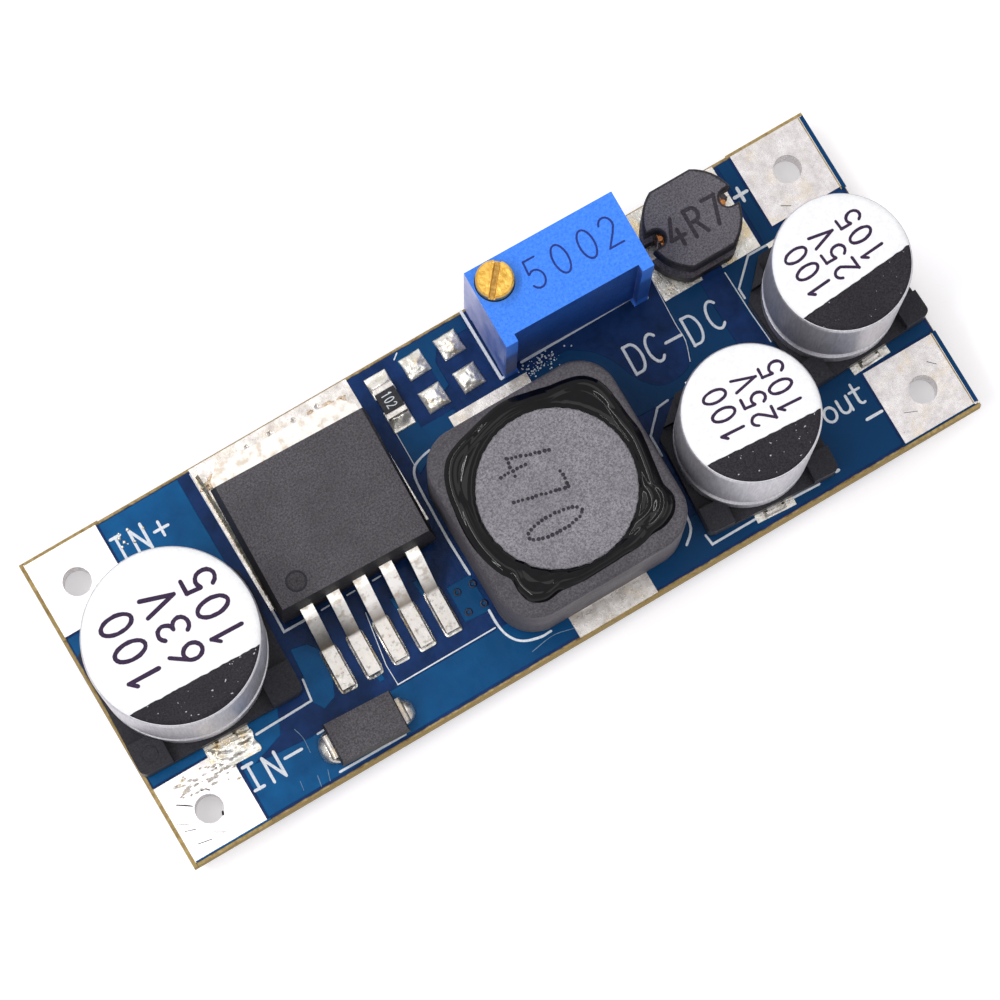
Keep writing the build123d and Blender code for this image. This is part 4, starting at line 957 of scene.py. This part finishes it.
ring_piece("regulator_ejector_mark", "dimple", "mould_compound", [EJECTOR_MARK], (0.005, 0.3, 0.46, 0.52),
           lambda r, a: REGULATOR_TOP + 0.003, 40)
ring_piece("regulator_ejector_ring", "base", "mould_compound", [EJECTOR_MARK], (0.50, 0.54, 0.59, 0.63),
           lambda r, a: REGULATOR_TOP + 0.017 - 4 * (r - 0.565) ** 2, 40)
ring_piece("capacitor_base_ejector_ring", "base", "base_plastic", [BASE_MARK], (0.40, 0.44, 0.48, 0.52),
           lambda r, a: LUG_TOP + 0.018 - 4 * (r - 0.46) ** 2, 36)


def dome(solids, middle, size, height, turn, seed):
    """Pillow of solder on a rectangular land: slumped and dented."""
    def point(across, along):
        s, t = -1 + 2 * across, -1 + 2 * along
        hip = 1 - max(abs(s), abs(t))
        crown = (1 - s * s) * (1 - t * t)
        lift = height * (0.14 * min(1.0, hip * 1.6) + 0.86 * crown ** 0.55)
        x, y = s * size[0] / 2, t * size[1] / 2
        rough = noise.noise(Vector((x * 2.3 + seed, y * 2.3, seed))) * 0.30 * height
        rough += noise.noise(Vector((x * 7 + seed, y * 7, seed + 3))) * 0.12 * height
        ragged = 1 + 0.035 * noise.noise(Vector((s * 2 + seed, t * 2, 9.0)))
        return (*turned(middle, turn, x * ragged, y * ragged), TOP + 0.06 + max(0.0,
                                                                                lift + rough * min(1,
                                                                                                   hip * 5)))

    solids.grid(sheet(22, 22, point), 0.07)


domes = Solids()
for x in (-0.75, 1.58):
    for y in (8.62, 6.38):
        dome(domes, (x, y), (1.42, 1.42), 0.36, 2.0, x * 3 + y)
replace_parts(domes.make("spare_land_domes", "dome", "tin", smooth=True), "spare_solder_lands")

def scattered_balls(name, look, seed, count, middle, spread, limits, radii, lift, steps):
    """Small balls of solder on the mask, about a middle and inside the limits of x and y."""
    solids = Solids()
    random.seed(seed)
    for _ in range(count):
        at = Vector((random.gauss(middle[0], spread[0]), random.gauss(middle[1], spread[1])))
        if not (limits[0] < at.x < limits[1] and limits[2] < at.y < limits[3]):
            continue
        radius = random.uniform(*radii)
        solids.grid(ring_rows(at, (0.003, radius * 0.5, radius * 0.85, radius),
                              lambda r, a: TOP + lift + math.sqrt(max(0.0, radius ** 2 - r * r)), steps),
                              0.05, True)
    solids.make(name, look, "tin", smooth=True)


scattered_balls("solder_spatter", "silk", 11, 90, (5.5, 5.0), (0.65, 0.26), (3.6, 8.2, 4.0, 5.6),
                (0.025, 0.065), 0.03, 8)

# Solder rounded over the diode's two end lands
DIODE = ((-13.87, -8.27), -2.8)
DIODE_END = 2.02
ends = Solids()
for way, middle_y, half_width, reach in ((-1, 0.0, 1.12, 0.80), (1, -0.05, 0.88, 0.84)):
    def pillow(across, u):
        v = -1 + 2 * across
        bow = math.sqrt(max(0.0, 1 - abs(v) ** 2.6))
        x = way * (DIODE_END + (reach + 0.15) * u * bow)
        y = middle_y + v * half_width * (1 - 0.10 * u)
        height = 0.80 * math.sqrt(max(0.0, 1 - (u * 0.98) ** 2.2)) * (0.35 + 0.65 * bow)
        height *= 1 + 0.30 * noise.noise(Vector((x * 1.7, y * 1.7, 5.0)))
        return (*turned(*DIODE, x, y), TOP + 0.05 + height)

    ends.grid(sheet(24, 14, pillow), 0.12)
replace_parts(ends.make("diode_end_solder", "solder", "tin", smooth=True), "diode_solder")

# Solder drawn up round the five feet, over their lands
LEADS = ((-9.93, 0.0), -1.7)
LEAD_PITCH = 1.702
FOOT_MIDDLE = -5.77 - 0.2 + 2.9 / 2
skirts = Solids()
for number in range(5):
    x0 = (number - 2) * LEAD_PITCH
    rows = []
    for share, z in ((0.0, 0.0), (0.0, FOIL), (0.12, 0.085), (0.45, 0.12), (0.75, 0.20), (1.0, 0.36),
                     (1.1, 0.2)):
        row = []
        for k in range(72):
            a = 2 * math.pi * k / 72
            c, d = math.cos(a), math.sin(a)
            power = 2 / 9
            sx, sy = math.copysign(abs(c) ** power, c), math.copysign(abs(d) ** power, d)
            half_x = 0.55 + (0.385 - 0.55) * share
            half_y = 1.45 + (1.22 - 1.45) * share
            rag = 1 + 0.05 * noise.noise(Vector((sx * 2 + number * 5, sy * 4, share)))
            x, y = x0 + half_x * sx * rag, FOOT_MIDDLE + half_y * sy * rag
            lift = z * (1 + 0.35 * share * noise.noise(Vector((x * 3, y * 3, 1.0))))
            row.append((*turned(*LEADS, x, y), TOP + lift))
        rows.append(row)
    skirts.grid(rows, 0.02, True)
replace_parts(skirts.make("regulator_foot_solder", "solder", "tin"), "regulator_lead_solder")

# Solder on the chip resistor's two lands, highest against its ends
CHIP = (-3.08, 7.5)
fillets = Solids()
for way in (-1, 1):
    def fillet(across, u):
        v = -1 + 2 * across
        x, y = 0.70 * v, 0.42 + 1.40 * u
        climb = math.exp(-((max(0.0, y - 1.0)) / 0.42) ** 2) if y > 1.0 else 0.75
        wall = 0.10 + 0.90 * climb * (1 - abs(v) ** 4)
        if y < 1.0 and abs(x) < 0.6:
            wall = min(wall, 0.1)
        height = 0.42 * wall * (1 - 0.75 * u ** 6) * (1 + 0.4 * noise.noise(Vector((x * 2.5, y * 2.5,
                                                                                    way))))
        return CHIP[0] + x, CHIP[1] + way * y, TOP + 0.05 + max(0.02, height)

    fillets.grid(sheet(20, 18, fillet), 0.07)
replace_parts(fillets.make("resistor_end_solder", "dome", "tin", smooth=True), "resistor_solder")

# Burr of solder squeezed out along the regulator's side
burr = Solids()
rows = []
for i in range(160):
    y = 9.35 - 9.1 * i / 159
    jag = 0.5 + 0.5 * noise.noise(Vector((y * 2.1, 0.0, 6.0))) + 0.35 * noise.noise(Vector((y * 9.0, 3.0,
                                                                                            6.0)))
    edge = -15.03 + 0.012 * (9.35 - y) + 0.03 * noise.noise(Vector((y * 5.0, 1.0, 2.0)))
    rows.append([(edge, y, TOP + FOIL), (edge + 0.05, y, TOP + FOIL + 0.14 + 0.10 * jag),
                 (edge + 0.15 + 0.04 * jag, y, TOP + FOIL + 0.30 + 0.22 * jag),
                 (edge + 0.24, y, TOP + FOIL + 0.42 + 0.25 * jag), (edge + 0.27, y, TOP + FOIL)])
burr.grid(rows, 0.04)
burr.make("regulator_side_burr", "burr", "tin")

ring_piece("tab_via_plugs", "lead", "tin", [(-9.23 + 1.56 * (k - 1.5), 9.4) for k in range(4)],
           (0.003, 0.08, 0.14, 0.18), lambda r, a: TOP + FOIL - 0.07 + 2.2 * r * r, 16, 0.1)


def stain(solids, at, radius, seed, level=0.0):
    """Thin irregular patch lying on a land."""
    rows = []
    for share, z in ((0.01, 0.022), (0.55, 0.020), (0.85, 0.028), (1.0, 0.004)):
        row = []
        for k in range(28):
            a = 2 * math.pi * k / 28
            r = radius * share * (1 + 0.45 * noise.noise(Vector((math.cos(a) * 1.6 + seed,
                                                                 math.sin(a) * 1.6, seed))))
            row.append((at[0] + 1.5 * r * math.cos(a), at[1] + 0.7 * r * math.sin(a),
                        TOP + FOIL + level + z))
        rows.append(row)
    solids.grid(rows, 0.02, True)


stains = Solids()
for at, radius, seed in (((-14.6, 8.55), 0.34, 1.0), ((-14.0, 8.85), 0.34, 2.0), ((-13.2, 9.12), 0.16, 3.0),
                         ((-6.3, 9.15), 0.26, 5.0), ((-5.45, 9.05), 0.24, 6.0), ((-7.4, 9.3), 0.14, 8.0)):
    stain(stains, at, radius, seed)
stains.make("flux_stains", "flux", "tin", smooth=True)
dull = Solids()
random.seed(21)
for number in range(70):
    at = (random.uniform(-24.9, -21.4), random.gauss(-6.15, 0.45))
    radius = random.uniform(0.03, 0.14)
    if -6.55 < at[1] < -5.2 or (at[0] > -22.4 and -7.9 < at[1] < -5.2):
        stain(dull, at, radius, number * 1.9, 0.0011 * (number % 9))
dull.make("dull_solder_patches", "clip", "tin", smooth=True)

scratches = Solids()
for line in ([(-17.39, -6.13), (-17.22, -6.8), (-17.28, -7.73)], [(-18.61, -8.87), (-18.69, -9.4)],
             [(-17.59, -9.08), (-17.71, -9.72)], [(-16.92, -9.09), (-17.12, -9.7)],
             [(-25.9, -2.6), (-25.4, -4.1)],
             [(-3.4, -9.2), (-1.9, -9.0), (-0.7, -9.25)], [(16.2, -8.3), (16.9, -7.2)]):
    scratches.ribbon(smooth_line(line, 6), 0.045, TOP + 0.02, TOP + 0.042, 0.6, line[0][0])
scratches.make("mask_scratches", "scratch", "solder_mask")

cracks = Solids()
for width, line in ((0.08, [(-25.37, -6.45), (-24.95, -6.72), (-24.63, -6.97)]),
                    (0.14, [(-23.34, -8.25), (-23.28, -8.12)]),
                    (0.07, [(-23.75, -6.45), (-23.45, -6.52), (-23.3, -6.66)]),
                    (0.04, [(-25.9, -7.4), (-25.3, -7.75)]),
                    (0.04, [(-25.7, -8.0), (-25.1, -8.2)]), (0.04, [(-25.4, -9.0), (-24.6, -9.15)]),
                    (0.03, [(-24.4, -8.8), (-23.7, -9.2)]),
                    (0.05, [(22.4, 5.9), (22.9, 5.6)]), (0.04, [(24.9, -6.3), (25.3, -6.7)]),
                    (0.04, [(22.2, -8.2), (22.9, -8.5)])):
    cracks.ribbon(line, width, TOP + FOIL - 0.01, TOP + FOIL + 0.008, 0.7, line[0][1])
cracks.make("land_scratches", "base", "tin")

# Bare laminate and mask beyond the corner lands, along the board's rim
RIM_X, RIM_Y, LAND_X, LAND_Y = 26.293, 10.093, 21.1, 4.95
BARE = 0.25
bare, masked = Solids(), Solids()


def strip(solids, x0, y0, x1, y1):
    solids.slab([(x0, y0), (x1, y0), (x1, y1), (x0, y1)], TOP + 0.02, TOP + FOIL + 0.014, 0.02)


for y0, y1 in ((LAND_Y, RIM_Y), (-RIM_Y, -LAND_Y)):
    strip(bare, -RIM_X, y0, BARE - RIM_X, y1)
for y0, y1 in ((RIM_Y - 0.2, RIM_Y), (-RIM_Y, 0.2 - RIM_Y)):
    strip(bare, BARE - RIM_X + 0.004, y0, -LAND_X, y1)
    strip(bare, LAND_X, y0, RIM_X, y1)
strip(masked, BARE - RIM_X + 0.004, 0.204 - RIM_Y, -LAND_X, 0.33 - RIM_Y)
strip(masked, LAND_X, 0.204 - RIM_Y, RIM_X - 0.28, 0.33 - RIM_Y)
for y0, y1 in ((LAND_Y, RIM_Y - 0.204), (0.334 - RIM_Y, -LAND_Y)):
    strip(bare, RIM_X - 0.38, y0, RIM_X - 0.28, y1)
    strip(masked, RIM_X - 0.276, y0, RIM_X, y1)
bare.make("bare_rim", "laminate", "solder_mask")
masked.make("masked_rim", "pour", "solder_mask")

# Crinkled solder where the input capacitor's lead meets the input - land
crinkles = Solids()


def crinkle(s, t):
    x = -22.42 + 2.85 * s + 0.06 * math.sin(9 * t)
    y = -6.08 + 1.36 * t + 0.07 * math.sin(11 * s)
    fold = abs(noise.noise(Vector((x * 1.5, y * 2.3, 8.0)))) + 0.4 * abs(noise.noise(Vector((x * 4.1,
                                                                                             y * 4.7,
                                                                                             3.0))))
    edge = min(1.0, 8 * min(s, 1 - s, t, 1 - t))
    return x, y, TOP + FOIL + 0.002 + 0.22 * fold * edge


crinkles.grid(sheet(60, 30, crinkle), 0.03)
crinkles.make("input_land_solder", "dome", "tin", smooth=True)

scattered_balls("solder_balls", "solder", 3, 16, (-20.5, 8.15), (0.75, 0.5), (-21.0, -18.8, 7.0, 9.2),
                (0.05, 0.13), 0.04, 10)

# Dark film in the bottom of the screw's slot
slot = Solids()
SCREW, SLOT_TURN, SLOT_REACH = (4.6656, 8.80064), 50, 0.93
SLOT_FLOOR = TOP + 10.4
slot.ribbon([turned(SCREW, SLOT_TURN, x, 0) for x in (-SLOT_REACH, 0, SLOT_REACH)], 0.36, SLOT_FLOOR - 0.01,
            SLOT_FLOOR + 0.03, 0.15)
slot.make("screw_slot_film", "dark_slot_floor", "brass", body="adjusting_screw")
